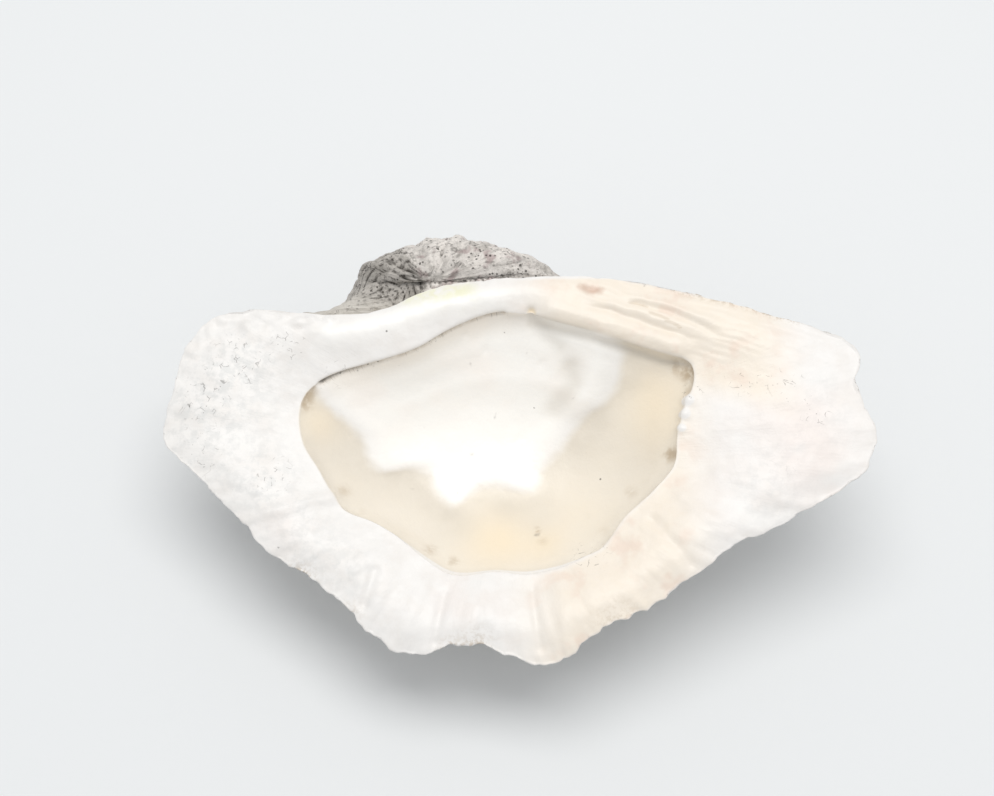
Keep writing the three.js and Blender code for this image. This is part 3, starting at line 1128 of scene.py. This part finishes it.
    @staticmethod
    def gap_where(here: Array, gap: Array) -> Array:
        """A distance where a condition holds, and far away elsewhere."""
        return np.where(here, gap, FAR_AWAY)

    def share(self, marks: Marks, within: Array) -> Array:
        """The strength of some marks inside a region, 0 to 1."""
        return np.clip(within * total_swell(marks, self.x, self.y), 0.0, 1.0)

    def fields(self) -> dict[str, Array]:
        """The named values that the finish reads: distances in millimetres, and shares.

        Returns:
            One array over the grid for each name.
        """
        grid, x, y = self.grid, self.x, self.y
        hinge, umbo, bowl, rim = self.hinge, self.umbo, self.bowl, self.rim
        top, height = 1.0 - grid.outer, self.base[..., 2]
        plate, outside = top * (1.0 - grid.hollow), grid.outer > 0.5
        slit_gap = np.minimum.reduce([slit.gap(x, y) for slit in hinge.slits])
        left = smoothstep(self.past_gash(), *umbo.left_tint)
        return {
            "outer": grid.outer,
            "hollow": grid.hollow,
            "grown": grid.grown,
            "lip_gap": grid.lip_gap,
            "edge_gap": grid.edge_gap,
            "callus": self.callus_depth(),
            "inside": grid.edge_gap - self.white_front(),
            "crevice": self.gap_where(~outside, self.crevice_gap()),
            "tooth_foot": self.gap_where(~outside, hinge.tooth_foot.gap(x, y)),
            "slit": self.gap_where(~outside, slit_gap),
            "red_pit": self.gap_where(~outside, hinge.red_pit.gap(x, y)),
            "amber_pit": top * hinge.amber_pit.swell(x, y) / hinge.amber_pit.strength,
            "stain_and_shade": self.share(bowl.stains_and_corner_shade, top),
            "amber": self.share(bowl.ambers, grid.hollow),
            "nick": self.share(bowl.nicks, top),
            "cloud": self.share(bowl.clouds, grid.hollow),
            "roll": self.share((hinge.roll,), top / hinge.roll.height),
            "shade": np.clip(-total_swell(bowl.hollows, x, y) / bowl.shade_depth, 0.0, 1.0) * grid.hollow,
            "borings": self.share(rim.borings, top),
            "pink": self.share(rim.pinks, top),
            "cool": self.share(rim.cools, top),
            "cream": self.cream_zone() * plate,
            "grime": self.share(rim.grimes, np.ones(x.shape)) * np.exp(-grid.lip_gap / rim.grime_reach),
            "green": self.lime_zone() * plate,
            "crust": self.share(bowl.crust, top),
            "height": self.height,
            "arcs": self.umbo_arcs(),
            "left_lobe": left * smoothstep(height, *umbo.left_heights),
            "gash": self.gap_where(outside & (height > umbo.gash_floor), umbo.gash.gap(x, y)),
        }


# ---- The mesh ----


@dataclass
class Valve:
    """The valve: its fine surface, laid down where the solid lies."""

    form: ValveForm = field(default_factory=ValveForm)
    hinge_up: float = math.radians(11.0)
    long_end_up: float = math.radians(2.5)
    worn_depth: float = 2.5
    name: str = "valve_shell"

    def lay_down(self, points: Array, base: Array) -> Array:
        """Turn and move points of the valve's frame to where the shell rests, in metres.

        Args:
            points: The points to move, with their coordinates last.
            base: The smooth form's points, which set where the shell lies.

        Returns:
            The moved points.
        """
        turn = np.array(Euler((self.hinge_up, 0.0, 0.0)).to_matrix())
        turn = turn @ np.array(Euler((0.0, -self.long_end_up, 0.0)).to_matrix())
        resting = base.reshape(-1, 3) @ turn.T
        low, high = resting.min(axis=0), resting.max(axis=0)
        shift = np.array([-(low[0] + high[0]) / 2, -(low[1] + high[1]) / 2, -low[2] - self.worn_depth])
        placed = points @ turn.T + shift
        placed[..., 2] = np.maximum(placed[..., 2], 0.0)
        return placed * METRES

    def faces(self, grid: SurfaceGrid, starts: list[int], strides: list[int]) -> list[tuple[int, int, int]]:
        """Triangles between the rings, and the two fans at the poles.

        Args:
            grid: The surface's grid.
            starts: The first vertex of each ring, then the beak's and the floor's vertex.
            strides: How many columns each ring skips.

        Returns:
            Triangles that face outward.
        """
        counts = [grid.columns // stride for stride in strides]
        found: list[tuple[int, int, int]] = []
        beak, middle = starts[-2], starts[-1]
        first, last = counts[0], counts[-1]
        found += [(beak, starts[0] + (j + 1) % first, starts[0] + j) for j in range(first)]
        for row in range(len(counts) - 1):
            near, far = starts[row], starts[row + 1]
            here, there = counts[row], counts[row + 1]
            if here == there:
                for j in range(here):
                    k = (j + 1) % here
                    found += [(near + j, near + k, far + k), (near + j, far + k, far + j)]
            elif there > here:
                for j in range(here):
                    k, a, b, c = (j + 1) % here, 2 * j, 2 * j + 1, (2 * j + 2) % there
                    found += [(near + j, far + b, far + a), (near + j, near + k, far + b),
                              (near + k, far + c, far + b)]
            else:
                for j in range(there):
                    k, a, b, c = (j + 1) % there, 2 * j, 2 * j + 1, (2 * j + 2) % here
                    found += [(far + j, near + a, near + b), (far + j, near + b, far + k),
                              (far + k, near + b, near + c)]
        final = starts[len(counts) - 1]
        found += [(final + j, final + (j + 1) % last, middle) for j in range(last)]
        return found

    def build(self) -> bpy.types.Object:
        """Make the surface and its named fields.

        Returns:
            The mesh object.
        """
        grid = SurfaceGrid(self.form)
        grid.build()
        base = grid.points.copy()
        relief = Relief(grid)
        relief.apply()
        fields = relief.fields()
        strides = grid.strides()
        places = self.lay_down(grid.points, base)
        picked = [np.arange(0, grid.columns, stride) for stride in strides]
        rows = [places[row, columns] for row, columns in enumerate(picked)]
        starts = list(np.cumsum([0] + [len(row) for row in rows]))
        beak, middle = rows[0].mean(axis=0, keepdims=True), rows[-1].mean(axis=0, keepdims=True)
        vertices = np.concatenate([*rows, beak, middle])
        starts = [int(s) for s in starts[:-1]] + [len(vertices) - 2, len(vertices) - 1]

        mesh = bpy.data.meshes.new(self.name)
        mesh.from_pydata(vertices.tolist(), [], self.faces(grid, starts, strides))
        mesh.update()
        for name, values in fields.items():
            flat = [values[row, columns] for row, columns in enumerate(picked)]
            ends = [[flat[0].mean()], [flat[-1].mean()]]
            attribute = mesh.attributes.new(name, "FLOAT", "POINT")
            attribute.data.foreach_set("value", np.concatenate([*flat, *ends]).astype(np.float32))
        growth = np.stack([grid.lip_point[..., 0], grid.lip_point[..., 1], grid.lip_gap], -1)
        flow = [growth[row, columns] for row, columns in enumerate(picked)]
        flow += [flow[0][:1], flow[-1][:1]]
        attribute = mesh.attributes.new("growth", "FLOAT_VECTOR", "POINT")
        attribute.data.foreach_set("vector", np.concatenate(flow).astype(np.float32).ravel())
        mesh.polygons.foreach_set("use_smooth", np.ones(len(mesh.polygons), bool))
        valve = bpy.data.objects.new(self.name, mesh)
        bpy.context.scene.collection.objects.link(valve)
        log.info("%s: %d vertices, %d triangles", self.name, len(mesh.vertices), len(mesh.polygons))
        return valve


# ---- Shader maths ----


class Socket:
    """A value or colour in a shader tree. Arithmetic on it adds the Math nodes it needs."""

    def __init__(self, tree: "ShaderTree", socket: bpy.types.NodeSocket) -> None:
        """Wrap a socket of a tree."""
        self.tree = tree
        self.socket = socket

    def _math(self, operation: str, *values: "Socket | float") -> "Socket":
        """Add one Math node."""
        return self.tree.node("ShaderNodeMath", {"operation": operation}, dict(enumerate(values)))

    def __add__(self, other: "Socket | float") -> "Socket":
        """Sum."""
        return self._math("ADD", self, other)

    __radd__ = __add__

    def __mul__(self, other: "Socket | float") -> "Socket":
        """Product."""
        return self._math("MULTIPLY", self, other)

    __rmul__ = __mul__

    def __sub__(self, other: "Socket | float") -> "Socket":
        """Difference."""
        return self._math("SUBTRACT", self, other)

    def __rsub__(self, other: "Socket | float") -> "Socket":
        """Difference, the other way round."""
        return self._math("SUBTRACT", other, self)

    def least(self, other: "Socket | float") -> "Socket":
        """The lesser of the two."""
        return self._math("MINIMUM", self, other)

    def most(self, other: "Socket | float") -> "Socket":
        """The greater of the two."""
        return self._math("MAXIMUM", self, other)

    def held(self) -> "Socket":
        """The value, held between 0 and 1."""
        return self.least(1.0).most(0.0)

    def ramp(self, low: float, high: float) -> "Socket":
        """Ease from 0 at low to 1 at high, or the other way round if high is lower.

        Args:
            low: Where the result is 0.
            high: Where the result is 1.

        Returns:
            The eased value.
        """
        inputs = {"Value": self, "From Min": low, "From Max": high}
        return self.tree.node("ShaderNodeMapRange", {"interpolation_type": "SMOOTHSTEP"}, inputs)


@dataclass(frozen=True)
class Grain:
    """Noise in a finish, over the place or, with a stretch, over the growth."""

    size: float  # metres over the place, millimetres over the growth
    detail: float = 3.0
    rough: float = 0.55
    stretch: Triple | None = None


@dataclass(frozen=True)
class Specks:
    """Specks or cracks in a finish."""

    size: float  # the spacing in metres
    width: float  # a speck's radius, or half a crack's width, as a share of the spacing


class ShaderTree:
    """Adds nodes to one material."""

    SPECK_CORE = 0.5  # share of a speck's radius that is quite dark
    CRACK_CORE = 0.35  # share of a crack's width that is quite dark
    CRACK_WANDER = 0.7

    def __init__(self, name: str) -> None:
        """Make an empty material.

        Args:
            name: The material's name.
        """
        self.material = bpy.data.materials.new(name)
        self.material.use_nodes = True
        self.nodes = self.material.node_tree.nodes
        self.links = self.material.node_tree.links
        self.nodes.clear()
        self.places: dict[str, Socket] = {}

    def node(self, kind: str, settings: dict[str, Any] | None = None,
             inputs: dict[Any, Any] | None = None, output: Any = 0) -> Socket:
        """Add a node.

        Args:
            kind: The node's type.
            settings: Its properties, set before its sockets.
            inputs: Values or links of its sockets, by name or number.
            output: The output socket to return.

        Returns:
            The chosen output.
        """
        made = self.nodes.new(kind)
        for key, value in (settings or {}).items():
            setattr(made, key, value)
        for key, value in (inputs or {}).items():
            if isinstance(value, Socket):
                self.links.new(value.socket, made.inputs[key])
            else:
                made.inputs[key].default_value = value
        return Socket(self, made.outputs[output]) if len(made.outputs) else Socket(self, made.inputs[0])

    def blend(self, start: "Socket | Colour", end: "Socket | Colour", share: "Socket | float") -> Socket:
        """Mix two colours.

        Args:
            start: The colour at share 0.
            end: The colour at share 1.
            share: How much of the second.

        Returns:
            The mixed colour.
        """
        colours = [c if isinstance(c, Socket) else (*c, 1.0) for c in (start, end)]
        inputs = {0: share, 6: colours[0], 7: colours[1]}
        return self.node("ShaderNodeMix", {"data_type": "RGBA"}, inputs, 2)

    def field(self, name: str) -> Socket:
        """A named value of the mesh."""
        return self.node("ShaderNodeAttribute", {"attribute_name": name}, None, "Fac")

    def place(self) -> Socket:
        """The place on the piece, in metres."""
        if "place" not in self.places:
            self.places["place"] = self.node("ShaderNodeTexCoord", None, None, "Object")
        return self.places["place"]

    def growth(self, stretch: Triple) -> Socket:
        """The place in terms of growth, millimetres times a stretch along each direction."""
        raw = self.node("ShaderNodeAttribute", {"attribute_name": "growth"}, None, "Vector")
        return self.node("ShaderNodeVectorMath", {"operation": "MULTIPLY"}, {0: raw, 1: stretch})

    def noise(self, grain: Grain) -> Socket:
        """Smooth noise, about 0.2 to 0.8.

        Args:
            grain: The noise's sizes.

        Returns:
            The noise.
        """
        where = self.growth(grain.stretch) if grain.stretch else self.place()
        inputs = {"Vector": where, "Scale": 1.0 / grain.size, "Detail": grain.detail,
                  "Roughness": grain.rough}
        return self.node("ShaderNodeTexNoise", None, inputs, 0)

    def specks(self, specks: Specks) -> Socket:
        """Scattered round specks.

        Args:
            specks: The specks' sizes.

        Returns:
            1 in a speck, 0 outside.
        """
        inputs = {"Vector": self.place(), "Scale": 1.0 / specks.size, "Randomness": 1.0}
        gap = self.node("ShaderNodeTexVoronoi", None, inputs, "Distance")
        return gap.ramp(specks.width, specks.width * self.SPECK_CORE)

    def cracks(self, cracks: Specks) -> Socket:
        """Branching lines between irregular cells.

        Args:
            cracks: The cells' size and the lines' width.

        Returns:
            1 on a line, 0 off it.
        """
        inputs = {"Vector": self.place(), "Scale": self.CRACK_WANDER / cracks.size}
        wobble = self.node("ShaderNodeTexNoise", None, inputs, 1)
        inputs = {0: wobble, 1: (cracks.size,) * 3}
        shift = self.node("ShaderNodeVectorMath", {"operation": "MULTIPLY"}, inputs)
        moved = self.node("ShaderNodeVectorMath", {"operation": "ADD"}, {0: self.place(), 1: shift})
        inputs = {"Vector": moved, "Scale": 1.0 / cracks.size, "Randomness": 1.0}
        edge = self.node("ShaderNodeTexVoronoi", {"feature": "DISTANCE_TO_EDGE"}, inputs, "Distance")
        return edge.ramp(cracks.width, cracks.width * self.CRACK_CORE)


# ---- Finishes ----


@dataclass(frozen=True)
class ShellColours:
    """The shell's colours, as linear light."""

    white: Colour = (0.865, 0.845, 0.822)
    milk: Colour = (0.82, 0.785, 0.75)
    cool: Colour = (0.66, 0.665, 0.655)
    pink: Colour = (0.86, 0.765, 0.72)
    callus: Colour = (0.998, 0.982, 0.948)
    blush: Colour = (0.985, 0.93, 0.875)
    bowl: Colour = (0.845, 0.785, 0.69)
    amber: Colour = (0.885, 0.755, 0.56)
    # Painted shade: the grey-brown of the shade round the callus, below the bowl's edge, in its hollows and
    # at the tooth's foot.
    shade_grey_brown: Colour = (0.65, 0.60, 0.52)
    # Brown of the real brown marks and the grime, also painted as shade below the crevice and in the bowl's
    # two deep corners.
    stain_and_shade: Colour = (0.36, 0.24, 0.11)
    hinge_cream: Colour = (0.87, 0.775, 0.65)
    hinge_pink: Colour = (0.80, 0.63, 0.53)
    rust: Colour = (0.48, 0.24, 0.14)
    lime: Colour = (0.80, 0.80, 0.46)
    outside: Colour = (0.70, 0.665, 0.61)
    outside_dark: Colour = (0.40, 0.36, 0.31)
    beak: Colour = (0.37, 0.345, 0.31)
    beak_light: Colour = (0.86, 0.81, 0.76)
    mauve: Colour = (0.46, 0.36, 0.35)
    # Black of real pits and cracks, also painted as shadow along the crevice under the hinge's edge and as
    # shade where the umbo's relief is sunk.
    pit: Colour = (0.045, 0.038, 0.03)


@dataclass(frozen=True)
class ShellGrains:
    """The sizes of the finish's mottles, lines and specks."""

    mottle: Grain = Grain(0.011, 4.0, 0.6)
    veins: Grain = Grain(6.0, 4.0, 0.65, (1.0, 1.0, 0.4))
    cool_patches: Grain = Grain(0.0045, 4.0, 0.65)
    pink_zones: Grain = Grain(0.022, 2.0)
    hinge_fibres: Grain = Grain(0.006, 3.0, 0.6)
    hinge_clouds: Grain = Grain(0.014)
    bowl_clouds: Grain = Grain(0.016, 4.0, 0.6)
    callus_edge: Grain = Grain(0.006)
    blush_zones: Grain = Grain(0.03, 2.0)
    growth_bands: Grain = Grain(5.0, 3.0, 0.6, (0.05, 0.05, 0.8))
    growth_lines: Grain = Grain(1.5, 2.0, 0.6, (0.04, 0.04, 1.0))
    worn: Grain = Grain(0.018, 5.0, 0.62)
    beak_grain: Grain = Grain(0.0035, 4.0, 0.7)
    beak_lines: Grain = Grain(0.0016, 3.0, 0.7)
    mauve_zones: Grain = Grain(0.008, 2.0)
    pore_zones: Grain = Grain(0.009, 2.0)
    crack_zones: Grain = Grain(0.006, 2.0)
    pores: Specks = Specks(0.0021, 0.30)
    holes: Specks = Specks(0.0046, 0.17)
    beak_cracks: Specks = Specks(0.0045, 0.10)
    ragged: Grain = Grain(0.004, 3.0, 0.6)
    crevice_gaps: Grain = Grain(0.013)
    grime: Grain = Grain(0.0022, 4.0, 0.7)
    spikes: Grain = Grain(1.0, 2.0, 0.5, (1.0, 1.0, 0.12))
    denticles: Specks = Specks(0.0024, 0.22)
    bored_patches: Grain = Grain(0.0032, 2.0)
    scratches: Grain = Grain(0.7, 2.0, 0.5, (1.0, 1.0, 0.22))
    worm_tracks: Specks = Specks(0.0042, 0.045)
    borings: Specks = Specks(0.0042, 0.085)
    dot_islands: Grain = Grain(0.012, 1.0)
    dots: Specks = Specks(0.009, 0.075)
    sheen: Grain = Grain(0.005)
    skin: Grain = Grain(0.0011, 3.0, 0.6)
    rim_lines: Grain = Grain(1.4, 2.0, 0.5, (1.0, 1.0, 0.2))


@dataclass(frozen=True)
class ShellFinish:
    """The one finish of the valve: porcelain inside, chalky and worn outside."""

    name: str = "shell"
    colours: ShellColours = ShellColours()
    grains: ShellGrains = ShellGrains()
    bump_depth: float = 0.0006
    bump_strength: float = 0.8
    sheen_roughness: float = 0.34
    index: float = 1.48

    def rim_colour(self, tree: ShaderTree) -> Socket:
        """The rim's whites, with cool, milky and pink zones.

        Args:
            tree: The tree to add to.

        Returns:
            The colour.
        """
        c, g = self.colours, self.grains
        mottle = tree.noise(g.mottle)
        colour = tree.blend(c.white, c.milk, mottle.ramp(0.42, 0.66) * 0.6)
        veins = tree.noise(g.veins)
        patches = tree.noise(g.cool_patches)
        cool = tree.field("cool") * patches.ramp(0.42, 0.62) + veins.ramp(0.54, 0.72) * 0.25
        colour = tree.blend(colour, c.cool, cool.held() * 0.6)
        colour = tree.blend(colour, c.callus, tree.field("roll") * 0.6)
        pink = tree.field("pink") * tree.noise(g.pink_zones).ramp(0.3, 0.6)
        return tree.blend(colour, c.pink, pink.held() * 0.75)

    def hinge_colour(self, tree: ShaderTree, colour: Socket) -> Socket:
        """The hinge's cream plate with its pink lines and pits, and the lime tint by the beak.

        Args:
            tree: The tree to add to.
            colour: The colour so far.

        Returns:
            The colour with the hinge's over it.
        """
        c, g = self.colours, self.grains
        cream = tree.field("cream")
        fibres = tree.noise(g.hinge_fibres)
        colour = tree.blend(colour, c.hinge_cream, cream * (0.62 + 0.3 * fibres))
        colour = tree.blend(colour, c.hinge_pink, cream * tree.noise(g.hinge_clouds).ramp(0.50, 0.68) * 0.5)
        colour = tree.blend(colour, c.lime, tree.field("green") * fibres.ramp(0.3, 0.62) * 0.55)
        rust = (tree.field("red_pit") + fibres * 5.0).ramp(5.6, 2.4)
        colour = tree.blend(colour, c.rust, rust * 0.42)
        colour = tree.blend(colour, c.amber, tree.field("amber_pit").ramp(0.1, 0.8) * 0.8)
        return tree.blend(colour, c.stain_and_shade, tree.field("slit").ramp(1.1, 0.2) * 0.22)

    def bowl_colour(self, tree: ShaderTree) -> Socket:
        """The bowl's honey ground and its amber patches, with painted grey-brown shade round the callus,
        below the bowl's edge and in its hollows, and its white callus.

        Args:
            tree: The tree to add to.

        Returns:
            The colour.
        """
        c, g = self.colours, self.grains
        cloud = tree.noise(g.bowl_clouds)
        ground = tree.blend(c.bowl, c.amber, (tree.field("amber") * 0.9 + cloud * 0.3 - 0.1).held())
        callus = tree.field("callus")
        ragged = callus + (tree.noise(g.callus_edge) - 0.5) * 3.0
        # Painted shade: grey-brown on the ground just outside the callus, where it steps down.
        step_shade = tree.field("cloud") * 0.75 + ragged.ramp(-14.0, -1.5) * cloud.ramp(0.35, 0.6) * 0.35
        ground = tree.blend(ground, c.shade_grey_brown, (step_shade * (0.4 + cloud)).held() * 0.66)
        # Painted shade: grey-brown on the bowl's wall just below its edge.
        wall = tree.field("edge_gap").ramp(9.0, 0.0) * cloud.ramp(0.3, 0.7)
        ground = tree.blend(ground, c.shade_grey_brown, wall * 0.5)
        white = tree.blend(c.callus, c.blush, tree.noise(g.blush_zones).ramp(0.40, 0.66) * 0.6)
        warm = tree.field("crevice").ramp(16.0, 1.0) * 0.4
        white = tree.blend(white, c.hinge_cream, warm)
        white = tree.blend(white, c.white, callus.ramp(12.0, 0.0) * 0.6)
        ground = tree.blend(ground, white, ragged.ramp(-4.0, 3.0))
        return tree.blend(ground, c.shade_grey_brown, tree.field("shade") * 0.38)

    def outside_colour(self, tree: ShaderTree) -> Socket:
        """The outside's growth bands, and the grey, bored and worn umbo, with painted shade where its
        relief is sunk.

        Args:
            tree: The tree to add to.

        Returns:
            The colour.
        """
        c, g = self.colours, self.grains
        bands = tree.noise(g.growth_bands)
        worn = tree.noise(g.worn)
        fine = tree.noise(g.growth_lines)
        dark = bands.ramp(0.45, 0.7) * 0.4 + worn.ramp(0.5, 0.7) * 0.35 + fine.ramp(0.5, 0.66) * 0.4
        colour = tree.blend(c.outside, c.outside_dark, dark.held())
        colour = tree.blend(colour, c.white, tree.field("lip_gap").ramp(16.0, 1.0) * 0.75)
        colour = tree.blend(colour, c.milk, tree.field("height").ramp(0.5, 2.6) * 0.6)
        umbo = tree.field("grown").ramp(0.34, 0.5)
        grain = tree.noise(g.beak_grain)
        left = tree.field("left_lobe")
        light = grain.ramp(0.36, 0.62) * 0.45 + worn.ramp(0.38, 0.58) * 0.5 + 0.33
        beak = tree.blend(c.beak, c.beak_light, (light * (1.0 - left * 0.62)).held())
        beak = tree.blend(beak, c.mauve, tree.noise(g.mauve_zones).ramp(0.56, 0.68) * (1.0 - left) * 0.75)
        arcs = (1.0 - tree.field("arcs")).ramp(0.35, 0.95) * (0.28 + 0.7 * left) * grain.ramp(0.68, 0.46)
        beak = tree.blend(beak, c.pit, arcs)
        lines = tree.noise(g.beak_lines).ramp(0.54, 0.66)
        beak = tree.blend(beak, c.pit, lines * (0.2 + 0.3 * left))
        beak = tree.blend(beak, c.pit, tree.field("gash").ramp(1.9, 0.3) * grain.ramp(0.66, 0.46) * 0.75)
        colour = tree.blend(colour, beak, umbo)
        # Painted shade: the umbo darkens where its relief is sunk.
        dark = tree.field("height").ramp(-0.6, -2.2) * 0.45 * umbo
        few = tree.noise(g.pore_zones).ramp(0.44, 0.58)
        pits = tree.specks(g.pores) * few + tree.specks(g.holes) * (1.0 - few)
        cracks = tree.cracks(g.beak_cracks) * tree.noise(g.crack_zones).ramp(0.55, 0.64)
        pits = pits + cracks * (0.6 - 0.55 * left)
        return tree.blend(colour, c.pit, (pits.held() * 0.85 * (0.2 + 0.8 * umbo)).most(dark))

    def dirt_and_shade(self, tree: ShaderTree, colour: Socket) -> Socket:
        """Brown spots, painted shadow in and below the crevice under the hinge's edge, painted shade along
        the tooth's foot, borings and specks over everything.

        Args:
            tree: The tree to add to.
            colour: The colour so far.

        Returns:
            The colour with the dirt over it.
        """
        c, g = self.colours, self.grains
        ragged = tree.noise(g.ragged)
        within = tree.field("inside").ramp(-0.4, 0.6)
        # Brown spots; those in the bowl's two deep corners are painted shade.
        stain_and_shade = tree.field("stain_and_shade") * ragged.ramp(0.1, 0.62) * within
        colour = tree.blend(colour, c.stain_and_shade, stain_and_shade.ramp(0.1, 1.0) * 0.62)
        # Painted shadow: black along the crevice under the hinge's overhanging edge, and brown just below
        # it.
        unbroken = 0.45 + 0.55 * tree.noise(g.crevice_gaps).ramp(0.38, 0.6)
        crevice = tree.field("crevice").ramp(1.1, 0.3) * unbroken
        brown = tree.field("crevice").ramp(2.4, 0.5) * ragged.ramp(0.3, 0.6) * within
        colour = tree.blend(colour, c.stain_and_shade, brown * 0.35)
        colour = tree.blend(colour, c.pit, crevice * 0.8)
        colour = tree.blend(colour, c.pit, tree.field("nick").ramp(0.2, 1.0) * ragged.ramp(0.2, 0.6) * 0.5)
        grime = tree.field("grime") * tree.noise(g.grime).ramp(0.46, 0.60)
        colour = tree.blend(colour, c.stain_and_shade, grime * (0.5 + 0.5 * tree.field("outer")))
        # Painted shade: grey-brown along the foot of the long tooth.
        foot = tree.field("tooth_foot").ramp(2.6, 0.0)
        colour = tree.blend(colour, c.shade_grey_brown, foot * 0.35)
        spikes = tree.noise(g.spikes).ramp(0.56, 0.66)
        teeth = tree.field("crevice").ramp(3.2, 0.8) * (tree.specks(g.denticles) + spikes * 0.5) * within
        inside = 1.0 - tree.field("outer")
        bored = tree.field("borings").ramp(0.15, 0.8)
        patches = tree.noise(g.bored_patches).ramp(0.54, 0.62)
        scratches = tree.noise(g.scratches).ramp(0.66, 0.74)
        lines = tree.cracks(g.worm_tracks) * patches + tree.specks(g.borings) + scratches * patches
        islands = tree.noise(g.dot_islands).ramp(0.60, 0.66)
        dots = tree.specks(g.dots) * islands
        marks = (lines * bored * 0.45 + dots * 0.75 + teeth * 0.6).held() * inside
        return tree.blend(colour, c.pit, marks)

    def build(self) -> bpy.types.Material:
        """Make the material.

        Returns:
            The finished material.
        """
        tree = ShaderTree(self.name)
        c, g = self.colours, self.grains
        colour = self.hinge_colour(tree, self.rim_colour(tree))
        inside = tree.field("inside").ramp(-0.6, 0.9)
        colour = tree.blend(colour, self.bowl_colour(tree), inside)
        colour = tree.blend(colour, c.white, tree.field("crust").ramp(0.25, 0.6))
        colour = tree.blend(colour, self.outside_colour(tree), tree.field("outer").ramp(0.3, 0.8))
        colour = self.dirt_and_shade(tree, colour)
        outer = tree.field("outer")
        rough = self.sheen_roughness + outer * 0.4 + tree.noise(g.sheen) * 0.16
        rough = rough - tree.field("hollow") * 0.06
        grain = tree.noise(g.skin) * (0.12 + 0.9 * outer)
        grain = grain + tree.noise(g.ragged) * (0.35 + 0.9 * outer)
        fine = tree.noise(g.growth_lines)
        grain = grain + fine * outer * 1.1
        lines = tree.noise(g.rim_lines)
        grain = grain + lines * (1.0 - tree.field("hollow")) * 0.16
        pits = tree.specks(g.pores) * outer
        bump = tree.node("ShaderNodeBump", None, {
            "Strength": self.bump_strength, "Distance": self.bump_depth,
            "Height": grain - pits * 1.2})
        shell = tree.node("ShaderNodeBsdfPrincipled", None, {
            "Base Color": colour, "Roughness": rough.held(), "Normal": bump, "IOR": self.index})
        tree.node("ShaderNodeOutputMaterial", None, {"Surface": shell})
        return tree.material


# ---- Setting ----


@dataclass
class Studio:
    """The pale floor, the soft light and the camera."""

    floor_colour: Colour = (0.80, 0.815, 0.825)
    floor_size: float = 12.0
    sky_colour: Colour = (0.97, 0.985, 1.0)
    sky_strength: float = 0.62
    lamp_place: Triple = (0.07, 0.27, 1.72)
    lamp_size: Pair = (1.75, 0.85)
    lamp_power: float = 16.8
    lamp_colour: Colour = (1.0, 0.985, 0.96)
    lens: float = 50.0
    sensor: float = 36.0
    eye_distance: float = 0.622
    eye_elevation: float = math.radians(62.0)
    target: Triple = (-0.0075, 0.0301, 0.040)
    nearest: float = 0.01

    def build_floor(self) -> bpy.types.Object:
        """Make the floor.

        Returns:
            The floor's object.
        """
        half = self.floor_size / 2
        mesh = bpy.data.meshes.new("floor")
        corners = [(-half, -half, 0), (half, -half, 0), (half, half, 0), (-half, half, 0)]
        mesh.from_pydata(corners, [], [(0, 1, 2, 3)])
        floor = bpy.data.objects.new("floor", mesh)
        bpy.context.scene.collection.objects.link(floor)
        tree = ShaderTree("floor_paper")
        paper = tree.node("ShaderNodeBsdfPrincipled", None, {
            "Base Color": (*self.floor_colour, 1.0), "Roughness": 0.9, "Specular IOR Level": 0.1})
        tree.node("ShaderNodeOutputMaterial", None, {"Surface": paper})
        mesh.materials.append(tree.material)
        return floor

    def build_light(self) -> None:
        """Make the even sky and the broad lamp above and behind the shell."""
        scene = bpy.context.scene
        world = bpy.data.worlds.new("soft_sky")
        world.use_nodes = True
        sky = world.node_tree.nodes["Background"]
        sky.inputs["Color"].default_value = (*self.sky_colour, 1.0)
        sky.inputs["Strength"].default_value = self.sky_strength
        scene.world = world
        lamp = bpy.data.lights.new("soft_box", "AREA")
        lamp.shape = "ELLIPSE"
        lamp.size, lamp.size_y = self.lamp_size
        lamp.energy = self.lamp_power
        lamp.color = self.lamp_colour
        box = bpy.data.objects.new("soft_box", lamp)
        box.location = self.lamp_place
        box.rotation_euler = (-Vector(self.lamp_place)).to_track_quat("-Z", "Y").to_euler()
        scene.collection.objects.link(box)
        scene.view_settings.view_transform = "Standard"

    def build_camera(self) -> bpy.types.Object:
        """Make the camera.

        Returns:
            The camera's object.
        """
        lens = bpy.data.cameras.new("camera")
        lens.lens = self.lens
        lens.sensor_width = self.sensor
        lens.clip_start = self.nearest
        lens.dof.use_dof = False
        camera = bpy.data.objects.new("camera", lens)
        back = Vector((0.0, -math.cos(self.eye_elevation), math.sin(self.eye_elevation)))
        camera.location = Vector(self.target) + back * self.eye_distance
        camera.rotation_euler = (-back).to_track_quat("-Z", "Y").to_euler()
        bpy.context.scene.collection.objects.link(camera)
        bpy.context.scene.camera = camera
        return camera


def main() -> None:
    """Build the valve, its finish and the studio."""
    logging.basicConfig(level=logging.INFO, format="%(name)s: %(message)s")
    studio = Studio()
    studio.build_floor()
    studio.build_light()
    studio.build_camera()
    log.info("studio ready")

    valve = Valve().build()
    finish = ShellFinish()
    valve.data.materials.append(finish.build())
    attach(valve, "root")
    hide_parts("valve")
    log.info("%s dressed in %s", valve.name, finish.name)


if __name__ == "__main__":
    main()
